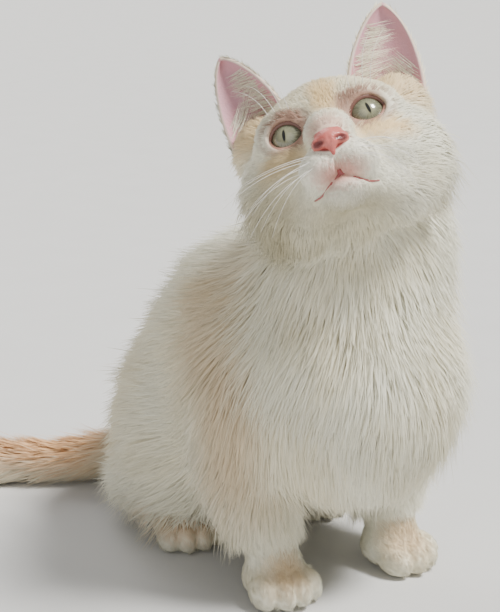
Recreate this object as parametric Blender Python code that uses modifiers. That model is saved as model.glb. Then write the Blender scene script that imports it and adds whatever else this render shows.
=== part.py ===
"""A munchkin kitten sitting with its head raised and turned to its right, life size. Metres, +Z up.

The kitten faces -Y and its left side is +X. It is laid out in millimetres about a plan point on the
floor midway between the front paws, and at the end the whole model is moved so that the origin is the
middle of the bottom of its bounding box. Each solid's core reaches about half way up the coat, and the
long coat stands on it as flat tapered locks.
"""

import math
import random

import bmesh
import bpy
from mathutils import Matrix, Vector
from mathutils.bvhtree import BVHTree

MM = 0.001
GAP = 0.35  # space between nodes that meet
MERGE = 0.002  # edges shorter than this are closed up after a cut
TOUCHING = 0.0005  # vertices nearer than this count as one

# Driving sizes, mm
PAW_SPREAD = 29.0  # midline to the middle of each front paw
TRUNK_WIDTH = 88.0  # across the ribs, without the coat
UNDERCOAT = 3.0  # of the coat's depth, on the trunk, which its core takes
RIB_HEIGHT = 78.0  # floor to the middle of the ribs
RIB_Y = 34.0
PELVIS_Y = 92.0
PELVIS_HEIGHT = 43.0
WITHERS_HEIGHT = 110.0
EYE_SPACING = 25.5  # between the eyeballs' centres
EYE_RADIUS = 9.2
HEAD_WIDTH = 60.0  # across the skull
EYE_DEPTH = 9.6  # from the eye line back to the eyeball's centre
EYE_SPLAY = 16.0  # degrees that each eye looks out to its side
EYE_SLANT = 10.0
EYE_SLIT_WIDTH = 13.4
EYE_SLIT_HEIGHT = 9.6
LID_THICKNESS = 1.3
LIP_GROOVE = 0.9
EAR_THICKNESS = 1.8
EAR_CUP = 9.0
TAIL_RADIUS = 9.4

# Locks of the long coat, mm: length, width, thickness, height of the tips over the core, spacing
LOCKS = {
    "head": (19, 11, 2.6, 6, 11.5),
    "neck": (34, 16, 3.4, 10, 14.5),
    "torso": (41, 19.5, 3.6, 11, 18),
    "hindleg": (28, 15, 3.2, 7, 16),
    "tail": (30, 12, 2.8, 6, 13),
}
COATED = [
    "head", "neck", "torso", "hindleg_left", "hindleg_right",
    "tail_root", "tail_upper", "tail_lower", "tail_tip",
]
LOCK_TAPER = (0.7, 1, 0.8, 0)  # of the width, from root to tip
LOCK_FLATTEN = (1, 1, 0.7, 0)  # of the thickness
ROOT_DEPTH = 3.0  # how deep a root is sunk in the core
ROOT_TRIES = 5000
LOWEST_LOCK = 2.5  # the middle of a lock stays this far over the floor
TIP_GROWTH = 4.0  # a grown lock's tip moves on by this many times its growth
ON_SKIN = 0.1  # a root this near the uncut surface isn't on a cut face
SEAM_MARGIN = 4.0  # no lock roots nearer to another node
MEET = 10.0  # nodes whose boxes come this near are cut clear of each other
CLEARANCE = 0.3  # between a lock and another node
KEPT_ON_FACE, KEPT_ON_BODY = 0.76, 0.65  # of a dressed node's triangles, as flat ones are merged
SEED = 7
SHARP = 35.0  # degrees between faces, past which an edge shows

# The head's pose: its own origin is the middle of the line between the eyes
EYE_LINE = Vector((-29.7, -24.5, 191.5))
HEAD_TURN = -45.5  # to its right
HEAD_LIFT = 30.2
HEAD_TILT = -21.9

SIDES = {"left": 1, "right": -1}

COLOURS = {
    "fur": (0.80, 0.76, 0.67, 1),
    "tail": (0.74, 0.56, 0.36, 1),
    "ear": (0.80, 0.62, 0.58, 1),
    "eye": (0.52, 0.54, 0.40, 1),
    "nose": (0.73, 0.38, 0.33, 1),
}
ROUGHNESS = {"fur": 0.9, "tail": 0.9, "ear": 0.75, "eye": 0.12, "nose": 0.55}


def head_matrix():
    turn = Matrix.Rotation(math.radians(HEAD_TURN), 4, "Z")
    lift = Matrix.Rotation(math.radians(-HEAD_LIFT), 4, "X")
    tilt = Matrix.Rotation(math.radians(HEAD_TILT), 4, "Y")
    return Matrix.Translation(EYE_LINE) @ turn @ lift @ tilt


def clear_scene():
    for obj in list(bpy.data.objects):
        bpy.data.objects.remove(obj)


def new_collection(name):
    made = bpy.data.collections.new(name)
    bpy.context.scene.collection.children.link(made)
    return made


def as_object(form, name, collection):
    """The bmesh, which is in millimetres, as an object in metres."""
    bmesh.ops.scale(form, vec=(MM, MM, MM), verts=form.verts)
    mesh = bpy.data.meshes.new(name)
    form.to_mesh(mesh)
    form.free()
    obj = bpy.data.objects.new(name, mesh)
    collection.objects.link(obj)
    return obj


def baked(obj):
    """The object's modifiers applied to its mesh."""
    graph = bpy.context.evaluated_depsgraph_get()
    mesh = bpy.data.meshes.new_from_object(obj.evaluated_get(graph))
    obj.modifiers.clear()
    obj.data = mesh
    return obj


# Forms


def ellipsoid(form, centre, radii, turn=(0, 0, 0), pose=Matrix(), segments=20):
    """An ellipsoid turned by degrees about X, Y and Z, then placed by pose."""
    spin = Matrix.Identity(4)
    for degrees, axis in zip(turn, "XYZ"):
        spin = Matrix.Rotation(math.radians(degrees), 4, axis) @ spin
    place = pose @ Matrix.Translation(centre) @ spin @ Matrix.Diagonal((*radii, 1))
    bmesh.ops.create_uvsphere(
        form, u_segments=segments, v_segments=segments * 2 // 3, radius=1, matrix=place
    )


def limb(form, points, radii, pose=Matrix()):
    """A round limb through points, with a ball at each joint and a cone between each two."""
    for point, radius in zip(points, radii):
        ellipsoid(form, point, (radius,) * 3, pose=pose)
    for (a, b), (ra, rb) in zip(zip(points, points[1:]), zip(radii, radii[1:])):
        along = Vector(b) - Vector(a)
        place = Matrix.Translation((Vector(a) + Vector(b)) / 2)
        place @= along.to_track_quat("Z", "Y").to_matrix().to_4x4()
        bmesh.ops.create_cone(
            form, cap_ends=True, segments=24, radius1=ra, radius2=rb,
            depth=along.length, matrix=pose @ place,
        )


def melted(form, name, collection, voxel, smoothing, triangles):
    """Overlapping forms melted into one smooth closed surface of about that many triangles."""
    obj = as_object(form, name, collection)
    melt = obj.modifiers.new("Melt", "REMESH")
    melt.mode = "VOXEL"
    melt.voxel_size = voxel * MM
    soften = obj.modifiers.new("Soften", "SMOOTH")
    soften.factor = 0.5
    soften.iterations = smoothing
    baked(obj)
    if triangles:
        thin_out(obj, triangles)
    return obj


def thin_out(obj, triangles):
    count = sum(len(face.vertices) - 2 for face in obj.data.polygons)
    thin = obj.modifiers.new("Thin", "DECIMATE")
    thin.ratio = min(1, triangles / count)
    thin.use_collapse_triangulate = True
    return baked(obj)


# Cuts and unions


def joined(obj, other, operation, solver="EXACT"):
    """The object united with, cut by or cut down to another object or a whole collection."""
    tool = obj.modifiers.new(operation.title(), "BOOLEAN")
    tool.operation = operation
    tool.solver = solver
    if isinstance(other, bpy.types.Collection):
        tool.operand_type = "COLLECTION"
        tool.collection = other
    else:
        tool.object = other
    return baked(obj)


def copy_of(obj, name, collection):
    twin = bpy.data.objects.new(name, obj.data.copy())
    collection.objects.link(twin)
    return twin


def grown(obj, collection, by=GAP):
    """A copy of a closed object whose surface stands that much further out."""
    twin = copy_of(obj, obj.name + "_grown", collection)
    twin.modifiers.new("Split", "TRIANGULATE")
    swell = twin.modifiers.new("Swell", "DISPLACE")
    swell.mid_level = 0
    swell.strength = by * MM
    return baked(twin)


def is_closed(form):
    return all(len(edge.link_faces) == 2 for edge in form.edges)


def in_triangles(form):
    """The form in triangles, cut the first way in which no two faces get the same diagonal."""
    for way in ("BEAUTY", "EAR_CLIP"):
        split = form.copy()
        bmesh.ops.triangulate(split, faces=split.faces, ngon_method=way)
        if is_closed(split):
            break
    form.free()
    return split


def keep_largest(obj, merge=0):
    """Drops every closed surface but the one that holds the most, and edges shorter than merge."""
    form = bmesh.new()
    form.from_mesh(obj.data)
    if merge:
        bmesh.ops.remove_doubles(form, verts=form.verts, dist=merge * MM)
    form = in_triangles(form)
    left = set(form.faces)
    shells = []
    while left:
        reached, edge = set(), [left.pop()]
        while edge:
            face = edge.pop()
            reached.add(face)
            for near in (f for e in face.edges for f in e.link_faces if f in left):
                left.discard(near)
                edge.append(near)
        shells.append(reached)

    def volume(faces):
        return abs(sum(f.normal.dot(f.calc_center_median()) * f.calc_area() for f in faces))

    biggest = max(shells, key=volume)
    loose = [face for face in form.faces if face not in biggest]
    bmesh.ops.delete(form, geom=loose, context="FACES")
    form.to_mesh(obj.data)
    form.free()
    return obj


def lightened(obj, share):
    """Merges triangles that lie nearly flat beside each other, as far as the surface stays closed."""
    full = obj.data
    while share < 1:
        obj.data = full.copy()
        thin_out(obj, share * len(full.polygons))
        form = bmesh.new()
        form.from_mesh(obj.data)
        bmesh.ops.remove_doubles(form, verts=form.verts, dist=TOUCHING * MM)
        closed = is_closed(form)
        form.free()
        if closed:
            return obj
        share += 0.03
    obj.data = full
    return obj


def remove(*objects):
    for obj in objects:
        bpy.data.objects.remove(obj)


# The body


def trunk_form():
    """Pelvis, loin, ribs, chest, neck, shoulders, thighs and upper arms, which melt together."""
    form = bmesh.new()
    half = TRUNK_WIDTH / 2
    masses = [
        ((0, PELVIS_Y, PELVIS_HEIGHT), (half + 1, 42, 43), 0),
        ((0, PELVIS_Y - 9, 62), (half - 1, 40, 44), 0),
        ((0, PELVIS_Y - 26, 74), (half + 1, 42, 46), 0),
        ((0, RIB_Y + 24, 89), (half - 1, 40, 40), 0),
        ((0, RIB_Y, RIB_HEIGHT), (half + 1, 42, 46), 0),
        ((3, 0, RIB_HEIGHT + 4), (42, 36, 43), 0),
        ((0, 44, WITHERS_HEIGHT - 6), (40, 36, 34), 0),
        ((2, 22, WITHERS_HEIGHT), (36, 32, 28), 0),
        ((6, 9, 124), (38, 34, 28), 0),
        ((8, 8, 144), (32, 30, 23), 0),
    ]
    for side in SIDES.values():
        masses.append(((side * 30, 20, 80), (21, 27, 36), 0))
        masses.append(((side * 28, PELVIS_Y - 12, 40), (25, 35, 35), 25))
    for centre, radii, pitch in masses:
        ellipsoid(form, centre, [radius + UNDERCOAT for radius in radii], turn=(pitch, 0, 0))
    for side in SIDES.values():
        limb(form, [(side * 31, 26, 62), (side * 31, 24, 46)], [18, 15.5])
    return form


def foreleg_form(form, side, splay):
    """Forearm, wrist and a paw with four toes, turned out by splay degrees."""
    wrist = Vector((side * PAW_SPREAD, 9, 18))
    limb(form, [(side * 31, 25, 50), (side * 30.5, 17, 34), wrist], [15.5, 13.5, 11.5])
    paw(form, Vector((side * PAW_SPREAD, 6, 0)), side, splay, 0.98)


def hind_foot_form(form, side, splay):
    """The long hind foot from heel to toes, flat on the floor."""
    heel = Vector((side * 38, 107, 12))
    toes = Vector((side * 33, 72, 0))
    limb(form, [heel, (toes.x, toes.y + 10, 11)], [12, 11])
    paw(form, toes, side, splay, 0.95)


def paw(form, place, side, splay, size):
    """A broad paw on the floor with its toes forward, -Y, before it is splayed."""
    pose = Matrix.Translation(place) @ Matrix.Rotation(math.radians(side * splay), 4, "Z")
    pose = pose @ Matrix.Scale(size, 4)
    ellipsoid(form, (0, -1, 8.5), (14.5, 15, 9.5), pose=pose)
    for across, ahead in ((-10.5, 9.5), (-3.8, 13.5), (3.8, 13.5), (10.5, 9.5)):
        ellipsoid(form, (across, -ahead, 6.5), (4.9, 8, 6.8), turn=(12, 0, 0), pose=pose)


TAIL_PATH = [
    (0, 116, 30),
    (-10, 139, 17),
    (-42, 160, 10),
    (-82, 181, 9),
    (-118, 193, 9),
    (-150, 192, 8.5),
]


def tail_point(t):
    """A point on the smooth tail line, t from 0 at the root to 1 at the tip."""
    last = len(TAIL_PATH) - 1
    k = min(int(t * last), last - 1)
    u = t * last - k
    p = [Vector(TAIL_PATH[min(max(i, 0), last)]) for i in range(k - 1, k + 3)]
    return 0.5 * (
        2 * p[1] + (p[2] - p[0]) * u + (2 * p[0] - 5 * p[1] + 4 * p[2] - p[3]) * u**2
        + (3 * p[1] - p[0] - 3 * p[2] + p[3]) * u**3
    )


def tail_form(form):
    steps = 14
    points = [tail_point(i / steps) for i in range(steps + 1)]
    radii = [TAIL_RADIUS * (1.35 - 0.55 * min(1, 3 * i / steps)) for i in range(steps)]
    limb(form, points, [*radii, TAIL_RADIUS * 0.6])


def add_surface(form, obj):
    """Adds an object's surface to a form, in millimetres, and removes the object."""
    obj.data.transform(Matrix.Scale(1 / MM, 4))
    form.from_mesh(obj.data)
    remove(obj)


def make_body(scrap):
    """Trunk, legs, feet and tail melted into one surface that stands on the floor."""
    form = bmesh.new()
    foreleg_form(form, -1, 4)
    foreleg_form(form, 1, 20)
    for side in SIDES.values():
        hind_foot_form(form, side, 12)
    tail_form(form)
    add_surface(form, melted(trunk_form(), "trunk", scrap, 2.4, 26, None))
    return melted(form, "body", scrap, 1.5, 4, 2500)


# The head, in its own frame: +X its left, -Y ahead, +Z up, from the middle of the eye line


def head_form():
    """Skull, brow, cheeks, muzzle, jaw and the roots of the ears."""
    form = bmesh.new()
    pose = head_matrix()
    half = HEAD_WIDTH / 2

    def ball(centre, radii, turn=(0, 0, 0)):
        ellipsoid(form, centre, radii, turn, pose)

    ball((0, 31, 1), (half, 33, 24))
    ball((0, 16, 8), (21, 16.5, 14.5))
    limb(form, [(0, 9, 0), (0, -5, -7.5), (0, -13, -12.5)], [10.5, 9, 7], pose)
    ball((0, -3, -20), (14.5, 14.5, 10.5))
    ball((0, 22, -20), (18, 20, 13))
    for side in SIDES.values():
        ball((side * 21, 25, -10), (16.5, 20, 18))
        ball((side * 14, 11, 6), (12, 11, 9))
        ball((side * 15, 12, -1), (14, 13, 12))
        ball((side * 14, 9, -13), (14, 13, 11))
        limb(form, [(side * 3, -1, -25.5), (side * 17, 24, -20)], [9, 14], pose)
        ball((side * 26, 31, 11), (11.5, 11, 13), turn=(0, side * -30, 0))
    return form


def muzzle_form():
    """The whisker pads and the chin."""
    form = bmesh.new()
    pose = head_matrix()
    ellipsoid(form, (0, -5, -29), (8.6, 8.6, 6), pose=pose)
    for side in SIDES.values():
        ellipsoid(form, (side * 6.2, -8.6, -20.8), (8, 9.2, 7), pose=pose)
    return form


def eye_centre(side):
    return Vector((side * EYE_SPACING / 2, EYE_DEPTH, 0))


def eye_pose(side):
    """At the eyeball's centre, -Y along the gaze and X along the slit between the lids."""
    pose = head_matrix() @ Matrix.Translation(eye_centre(side))
    pose @= Matrix.Rotation(math.radians(side * EYE_SPLAY), 4, "Z")
    return pose @ Matrix.Rotation(math.radians(-side * EYE_SLANT), 4, "Y")


def lid_opening(side, scrap):
    """The almond that the lids leave open, as a long prism along the gaze."""
    form = bmesh.new()
    bmesh.ops.create_cone(form, cap_ends=True, segments=20, radius1=1, radius2=1, depth=1)
    for vert in form.verts:
        angle = math.atan2(vert.co.y, vert.co.x)
        across, rise = math.cos(angle), math.sin(angle)
        height = EYE_SLIT_HEIGHT / 2 * math.copysign(abs(rise) ** 1.25, rise)
        vert.co = (EYE_SLIT_WIDTH / 2 * across, -EYE_RADIUS * (1 + vert.co.z), height)
    bmesh.ops.recalc_face_normals(form, faces=form.faces)
    bmesh.ops.transform(form, matrix=eye_pose(side), verts=form.verts)
    return as_object(form, "lid_opening", scrap)


def nose_form():
    """The bare nose: a bridge, two wings, the tip and the strip down to the lip."""
    form = bmesh.new()
    pose = head_matrix()
    ellipsoid(form, (0, -14.6, -11.6), (5.6, 3.6, 3.2), pose=pose)
    ellipsoid(form, (0, -17.2, -14.6), (4.6, 3.2, 3.8), pose=pose)
    limb(form, [(0, -17.4, -16.5), (0, -16.6, -21)], [2.4, 1.5], pose=pose)
    for side in SIDES.values():
        ellipsoid(form, (side * 4.2, -15, -14.8), (2.9, 3.4, 2.9), (0, side * 20, 0), pose)
    return form


def make_nose(scrap):
    """The nose and the cutter for its seat in the head."""
    nose = melted(nose_form(), "nose", scrap, 0.5, 4, 210)
    seat = grown(nose, scrap)
    for side in SIDES.values():
        form = bmesh.new()
        ellipsoid(
            form, (side * 4.3, -18.8, -15.4), (1.9, 2.6, 0.9), (0, side * -24, 0),
            head_matrix(), segments=12,
        )
        nostril = as_object(form, "nostril", scrap)
        joined(nose, nostril, "DIFFERENCE")
        remove(nostril)
    return keep_largest(nose, MERGE), seat


def mouth_line(head, side, scrap):
    """A thin tube along the lips, half sunk in the surface: down the split of the upper lip and round to
    the corner of the mouth."""
    surface = BVHTree.FromPolygons(
        [v.co / MM for v in head.data.vertices], [p.vertices for p in head.data.polygons]
    )
    aims = [(0, -22), (0.3, -25), (4.5, -27.8), (8.5, -28.6), (11.5, -27.6)]
    path = []
    for across, height in aims:
        start = head_matrix() @ Vector((side * across, -40, height))
        ahead = head_matrix().to_3x3() @ Vector((0, 1, 0))
        path.append(surface.ray_cast(start, ahead)[0])
    form = bmesh.new()
    limb(form, path, [LIP_GROOVE] * len(path))
    return melted(form, "mouth_line", scrap, 0.45, 1, 110)


def make_head(nose_seat, scrap):
    form = muzzle_form()
    add_surface(form, melted(head_form(), "skull", scrap, 1.3, 40, None))
    head = melted(form, "head", scrap, 1.1, 9, 1500)
    lips = [mouth_line(head, side, scrap) for side in SIDES.values()]
    for side in SIDES.values():
        lids = bmesh.new()
        ellipsoid(lids, (0, 0, 0), (EYE_RADIUS + LID_THICKNESS,) * 3, pose=eye_pose(side), segments=14)
        socket = bmesh.new()
        ellipsoid(socket, (0, 0, 0), (EYE_RADIUS + GAP,) * 3, pose=eye_pose(side), segments=14)
        lids = as_object(lids, "lids", scrap)
        joined(head, lids, "UNION")
        remove(lids)
        for cutter in (as_object(socket, "socket", scrap), lid_opening(side, scrap)):
            joined(head, cutter, "DIFFERENCE")
            remove(cutter)
    for cutter in (nose_seat, *lips):
        joined(head, cutter, "DIFFERENCE")
        remove(cutter)
    return keep_largest(head, MERGE)


def ear_form(side):
    """A thin cup between its inner base, outer base and tip, hollow towards the front."""
    inner, outer, tip = Vector((12.5 - 1.5 * side, 22, 21)), Vector((36, 31, 6)), Vector((32, 25, 49))
    base = (inner + outer) / 2
    across = (outer - inner) / 2
    rise = tip - base
    back = across.cross(rise).normalized()
    if back.y < 0:
        back.negate()
    form = bmesh.new()
    bmesh.ops.create_grid(form, x_segments=8, y_segments=8, size=1)
    for vert in form.verts:
        s, t = vert.co.x, 1 - 1.15 * ((1 - vert.co.y) / 2) ** 1.5
        if t > 0:
            width = (1 - t ** (2.4 if s > 0 else 1.5)) ** (0.58 if s > 0 else 0.72)
        else:
            width = 1 + t
        cup = EAR_CUP * (1 - s * s) * min(1, 1 - t) ** 0.7
        lean = 3 * t * (1 - t) + 1.5 * (1 - s * s) * t
        vert.co = base + rise * t + across * s * width + back * (cup + lean)
    bmesh.ops.remove_doubles(form, verts=form.verts, dist=0.01)
    if side < 0:
        bmesh.ops.scale(form, vec=(-1, 1, 1), verts=form.verts)
        bmesh.ops.reverse_faces(form, faces=form.faces)
    bmesh.ops.transform(form, matrix=head_matrix(), verts=form.verts)
    return form


def make_ear(side, name, head_clearance, scrap):
    ear = as_object(ear_form(side), name, scrap)
    wall = ear.modifiers.new("Wall", "SOLIDIFY")
    wall.thickness = EAR_THICKNESS * MM
    wall.offset = 0
    wall.use_even_offset = True
    baked(ear)
    joined(ear, head_clearance, "DIFFERENCE")
    return keep_largest(ear)


def make_eye(side, name, collection):
    form = bmesh.new()
    ellipsoid(form, (0, 0, 0), (EYE_RADIUS,) * 3, pose=eye_pose(side), segments=14)
    return as_object(form, name, collection)


# The parting of the body into nodes


def blob(name, collection, *shapes):
    """One closed cutter melted from ellipsoids given as centre and radii."""
    form = bmesh.new()
    for centre, radii in shapes:
        ellipsoid(form, centre, radii, segments=24)
    if len(shapes) == 1:
        return as_object(form, name, collection)
    return melted(form, name, collection, 3, 2, 500)


def beyond_tail(t, name, collection):
    """A round bar that holds all of the tail past a point on its line."""
    start, ahead = tail_point(t), tail_point(t + 0.02) - tail_point(t)
    place = Matrix.Translation(start) @ ahead.to_track_quat("Z", "Y").to_matrix().to_4x4()
    form = bmesh.new()
    bmesh.ops.create_cone(
        form, cap_ends=True, segments=24, radius1=15, radius2=80, depth=160,
        matrix=place @ Matrix.Translation((0, 0, 80)),
    )
    return as_object(form, name, collection)


def split_off(body, region, name, scrap):
    """The part of the body inside the region as a new object; the body keeps the rest, a gap away."""
    part = joined(copy_of(body, name, scrap), region, "INTERSECT")
    keep_largest(part)
    clear = grown(region, scrap)
    joined(body, clear, "DIFFERENCE")
    keep_largest(body)
    remove(clear, region)
    return part


def part_body(body, scrap):
    """The body cut into tail lengths, legs, neck and torso, by name."""
    nodes = {}

    def take(name, region):
        nodes[name] = split_off(body, region, name, scrap)

    for name, t in (("tail_tip", 0.74), ("tail_lower", 0.53), ("tail_upper", 0.33), ("tail_root", 0.14)):
        take(name, beyond_tail(t, "past", scrap))
    for name, side in SIDES.items():
        foot = ((side * 40, 84, 6), (25, 52, 25))
        thigh = ((side * 66, 78, 36), (36, 50, 50))
        take(f"hindleg_{name}", blob("hind_region", scrap, foot, thigh))
        take(f"foreleg_{name}", blob("fore_region", scrap, ((side * 31, 10, 12), (23, 42, 38))))
    take("neck", blob("neck_region", scrap, ((3, 8, 150), (80, 80, 34))))
    body.name = "torso"
    nodes["torso"] = body
    return nodes


# The long coat


def surface_of(obj):
    """The object's surface in millimetres, to find the nearest point on it."""
    return BVHTree.FromPolygons(
        [vert.co / MM for vert in obj.data.vertices], [face.vertices for face in obj.data.polygons]
    )


def body_lie(point):
    """The way the hair lies: down the throat and chest, back and down over the ribs, along the tail."""
    if point.y > TAIL_PATH[1][1] - 6 and point.z < 45:
        t = min((i / 40 for i in range(40)), key=lambda i: (tail_point(i) - point).length)
        return (tail_point(t + 0.02) - tail_point(t)).normalized()
    back = min(1, max(0, (point.y + 12) / 70))
    chest = Vector((0.006 * point.x, -0.12, -1))
    flank = Vector((0, 0.9, -0.25 - 0.006 * max(0, point.y - 40)))
    return chest.lerp(flank, back * back * (3 - 2 * back)).normalized()


def head_lie(point):
    """Back over the cheeks, outwards and down into the ruff."""
    place = head_matrix().inverted() @ point
    return (head_matrix().to_3x3() @ Vector((0.02 * place.x, 0.8, -0.45))).normalized()


def lock_line(surface, root, length, lift, lie, rng):
    """Four points from a sunk root to a lifted tip that clear the surface, and the normals there."""
    point, normal = surface.find_nearest(root)[:2]
    ahead = lie(point)
    ahead += Vector(rng.uniform(-0.22, 0.22) for _ in range(3))
    ahead = (ahead - normal * ahead.dot(normal)).normalized()
    line, normals = [point - normal * ROOT_DEPTH], [normal]
    step = length / 3
    for height in (0.18 * lift, 0.55 * lift, lift):
        aim = point + ahead * step
        near, normal = surface.find_nearest(aim)[:2]
        rise = (aim - near).dot(normal)
        wanted = height if rise < height else rise - 0.35 * (rise - height)
        point = near + (aim - near) + normal * (wanted - rise)
        point.z = max(point.z, LOWEST_LOCK)
        line.append(point)
        normals.append(normal)
        onward = lie(near)
        onward = (onward - normal * onward.dot(normal)).normalized()
        ahead = (ahead * 0.5 + onward * 0.5).normalized()
    return line, normals


def lock(line, normals, width, thickness, grow, collection):
    """A flat tapered lock along its line: a cone in three lengths, bent to the line, with two edges at
    its sides and a low ridge between them."""
    form = bmesh.new()
    bmesh.ops.create_cone(form, cap_ends=True, segments=3, radius1=1, radius2=0, depth=3)
    for height in (-0.5, 0.5):
        bmesh.ops.bisect_plane(
            form, geom=[*form.verts, *form.edges, *form.faces], plane_co=(0, 0, height),
            plane_no=(0, 0, 1),
        )
    for vert in form.verts:
        ring = round(vert.co.z + 1.5)
        across = (line[min(ring + 1, 3)] - line[max(ring - 1, 0)]).cross(normals[ring]).normalized()
        edge = round(math.atan2(vert.co.x, vert.co.y) / (2 * math.pi / 3))
        half_width = (width / 2 * LOCK_TAPER[ring] + 2 * grow) * edge
        half_depth = (thickness / 2 * LOCK_FLATTEN[ring] + grow) * (-1 if edge else 1)
        place = line[ring] + (line[3] - line[2]).normalized() * (TIP_GROWTH * grow if ring == 3 else 0)
        vert.co = place if ring == 3 else place + across * half_width + normals[ring] * half_depth
    bmesh.ops.triangulate(form, faces=form.faces)
    bmesh.ops.recalc_face_normals(form, faces=form.faces)
    return as_object(form, "lock", collection)


def meet(one, other):
    """Whether two objects come within a lock's length of each other."""
    reach = MEET * MM
    corners = [[Vector(corner) for corner in obj.bound_box] for obj in (one, other)]
    (low, high), (other_low, other_high) = ((box[0], box[6]) for box in corners)
    return all(low[i] < other_high[i] + reach and high[i] > other_low[i] - reach for i in range(3))


def roots(obj, spacing, rng, fits):
    """Points spread evenly at random over the object's faces where fits says that a lock may root."""
    faces = list(obj.data.polygons)
    areas = [face.area for face in faces]
    found = []
    for face in rng.choices(faces, areas, k=ROOT_TRIES):
        corners = [obj.data.vertices[i].co / MM for i in face.vertices]
        a, b = rng.random(), rng.random()
        if a + b > 1:
            a, b = 1 - a, 1 - b
        point = corners[0] + (corners[1] - corners[0]) * a + (corners[2] - corners[0]) * b
        if all((point - other).length > spacing for other in found) and fits(point):
            found.append(point)
    return found


def dressed(node, locks, neighbours, scrap):
    """The node united with its locks, then cut clear of its neighbours; and the space that it needs."""
    clearance = grown(node, scrap, CLEARANCE)
    for solid, grow in ((node, 0), (clearance, CLEARANCE)):
        tufts = new_collection("locks")
        for line, normals, width, thickness in locks:
            lock(line, normals, width, thickness, grow, tufts)
        joined(solid, tufts, "UNION", "MANIFOLD")
        remove(*tufts.objects)
        bpy.data.collections.remove(tufts)
    for neighbour in neighbours:
        joined(node, neighbour, "DIFFERENCE", "MANIFOLD")
    kept = KEPT_ON_FACE if node.name == "head" else KEPT_ON_BODY
    return lightened(keep_largest(node), kept), clearance


def may_root(point, name):
    """Whether long hair grows from a point of the node of that name."""
    if name == "head":
        place = head_matrix().inverted() @ point
        return place.y > 20 and place.z < 2 and abs(place.x) > 17
    if name.startswith("hindleg"):
        return point.z > 24 and abs(point.x) > 34
    if name.startswith("tail"):
        return point.z > 4
    return point.z > 16


def grow_coat(nodes, whole, scrap):
    """Puts the locks on every node that has long hair, from the head back. Each is cut clear of those
    dressed before it, with their locks, and of the bare surface of the others."""
    rng = random.Random(SEED)
    seat = grown(nodes["head"], scrap)
    joined(nodes["neck"], seat, "DIFFERENCE")
    remove(seat)
    skins = {name: surface_of(node) for name, node in nodes.items()}
    cutters = {name: grown(node, scrap, CLEARANCE) for name, node in nodes.items()}
    for name in COATED:
        length, width, thickness, lift, spacing = LOCKS[name.split("_")[0]]
        lie, surface = (head_lie, skins["head"]) if name == "head" else (body_lie, whole)

        def fits(point):
            on_skin = (surface.find_nearest(point)[0] - point).length < ON_SKIN
            return on_skin and may_root(point, name) and all(
                skin.find_nearest(point)[3] > SEAM_MARGIN for other, skin in skins.items() if other != name
            )

        locks = []
        for root in roots(nodes[name], spacing, rng, fits):
            size = rng.uniform(0.85, 1.15)
            line, normals = lock_line(surface, root, length * size, lift * size, lie, rng)
            locks.append((line, normals, width * rng.uniform(0.85, 1.15), thickness))
        near = [cutter for other, cutter in cutters.items() if other != name and meet(cutter, cutters[name])]
        bare = cutters[name]
        nodes[name], cutters[name] = dressed(nodes[name], locks, near, scrap)
        remove(bare)
    return cutters


def stand_on_floor(obj, scrap):
    """Cuts the object off flat at the floor."""
    form = bmesh.new()
    bmesh.ops.create_cube(form, size=1, matrix=Matrix.Translation((0, 0, -50)) @ Matrix.Scale(600, 4)
                          @ Matrix.Diagonal((1, 1, 1 / 6, 1)))
    floor = as_object(form, "floor", scrap)
    joined(obj, floor, "DIFFERENCE")
    remove(floor)


def finished(obj):
    """Shades the object smooth but for its sharp edges, and gives it a material by its name."""
    obj.data.shade_smooth()
    obj.data.set_sharp_from_angle(angle=math.radians(SHARP))
    kind = obj.name.split("_")[0]
    kind = kind if kind in COLOURS else "fur"
    material = bpy.data.materials.new(obj.name)
    material.use_nodes = True
    shader = material.node_tree.nodes["Principled BSDF"]
    shader.inputs["Base Color"].default_value = COLOURS[kind]
    shader.inputs["Roughness"].default_value = ROUGHNESS[kind]
    obj.data.materials.clear()
    obj.data.materials.append(material)


def stand_at_origin(nodes):
    """Moves the meshes so that the origin is the middle of the bottom of their bounding box."""
    corners = [node.matrix_world @ vert.co for node in nodes for vert in node.data.vertices]
    low = Vector(map(min, zip(*corners)))
    high = Vector(map(max, zip(*corners)))
    shift = Matrix.Translation((-(low.x + high.x) / 2, -(low.y + high.y) / 2, -low.z))
    for node in nodes:
        node.data.transform(shift)


def main():
    clear_scene()
    kitten = new_collection("munchkin_kitten")
    scrap = new_collection("cutters")
    body = make_body(scrap)
    stand_on_floor(body, scrap)
    whole = surface_of(body)
    nose, nose_seat = make_nose(scrap)
    nodes = {"head": make_head(nose_seat, scrap), **part_body(body, scrap)}
    clearances = grow_coat(nodes, whole, scrap)
    nodes["nose"] = nose
    for name, side in SIDES.items():
        nodes[f"ear_{name}"] = make_ear(side, f"ear_{name}", clearances["head"], scrap)
        nodes[f"eye_{name}"] = make_eye(side, f"eye_{name}", scrap)
    remove(*clearances.values())
    for node in nodes.values():
        scrap.objects.unlink(node)
        kitten.objects.link(node)
        finished(node)
    stand_at_origin(list(nodes.values()))


main()
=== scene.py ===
"""A munchkin kitten sitting with its head raised and turned to its right: skin, coat, eyes, ears, nose and
whiskers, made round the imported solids.

Sizes are millimetres, laid out about a plan point on the floor midway between the front paws: -Y is ahead,
+X the kitten's left, +Z up. to_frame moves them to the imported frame, in metres.
"""

import itertools
import math

import bpy
import numpy as np
from mathutils import Matrix, Vector
from mathutils.kdtree import KDTree


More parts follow.
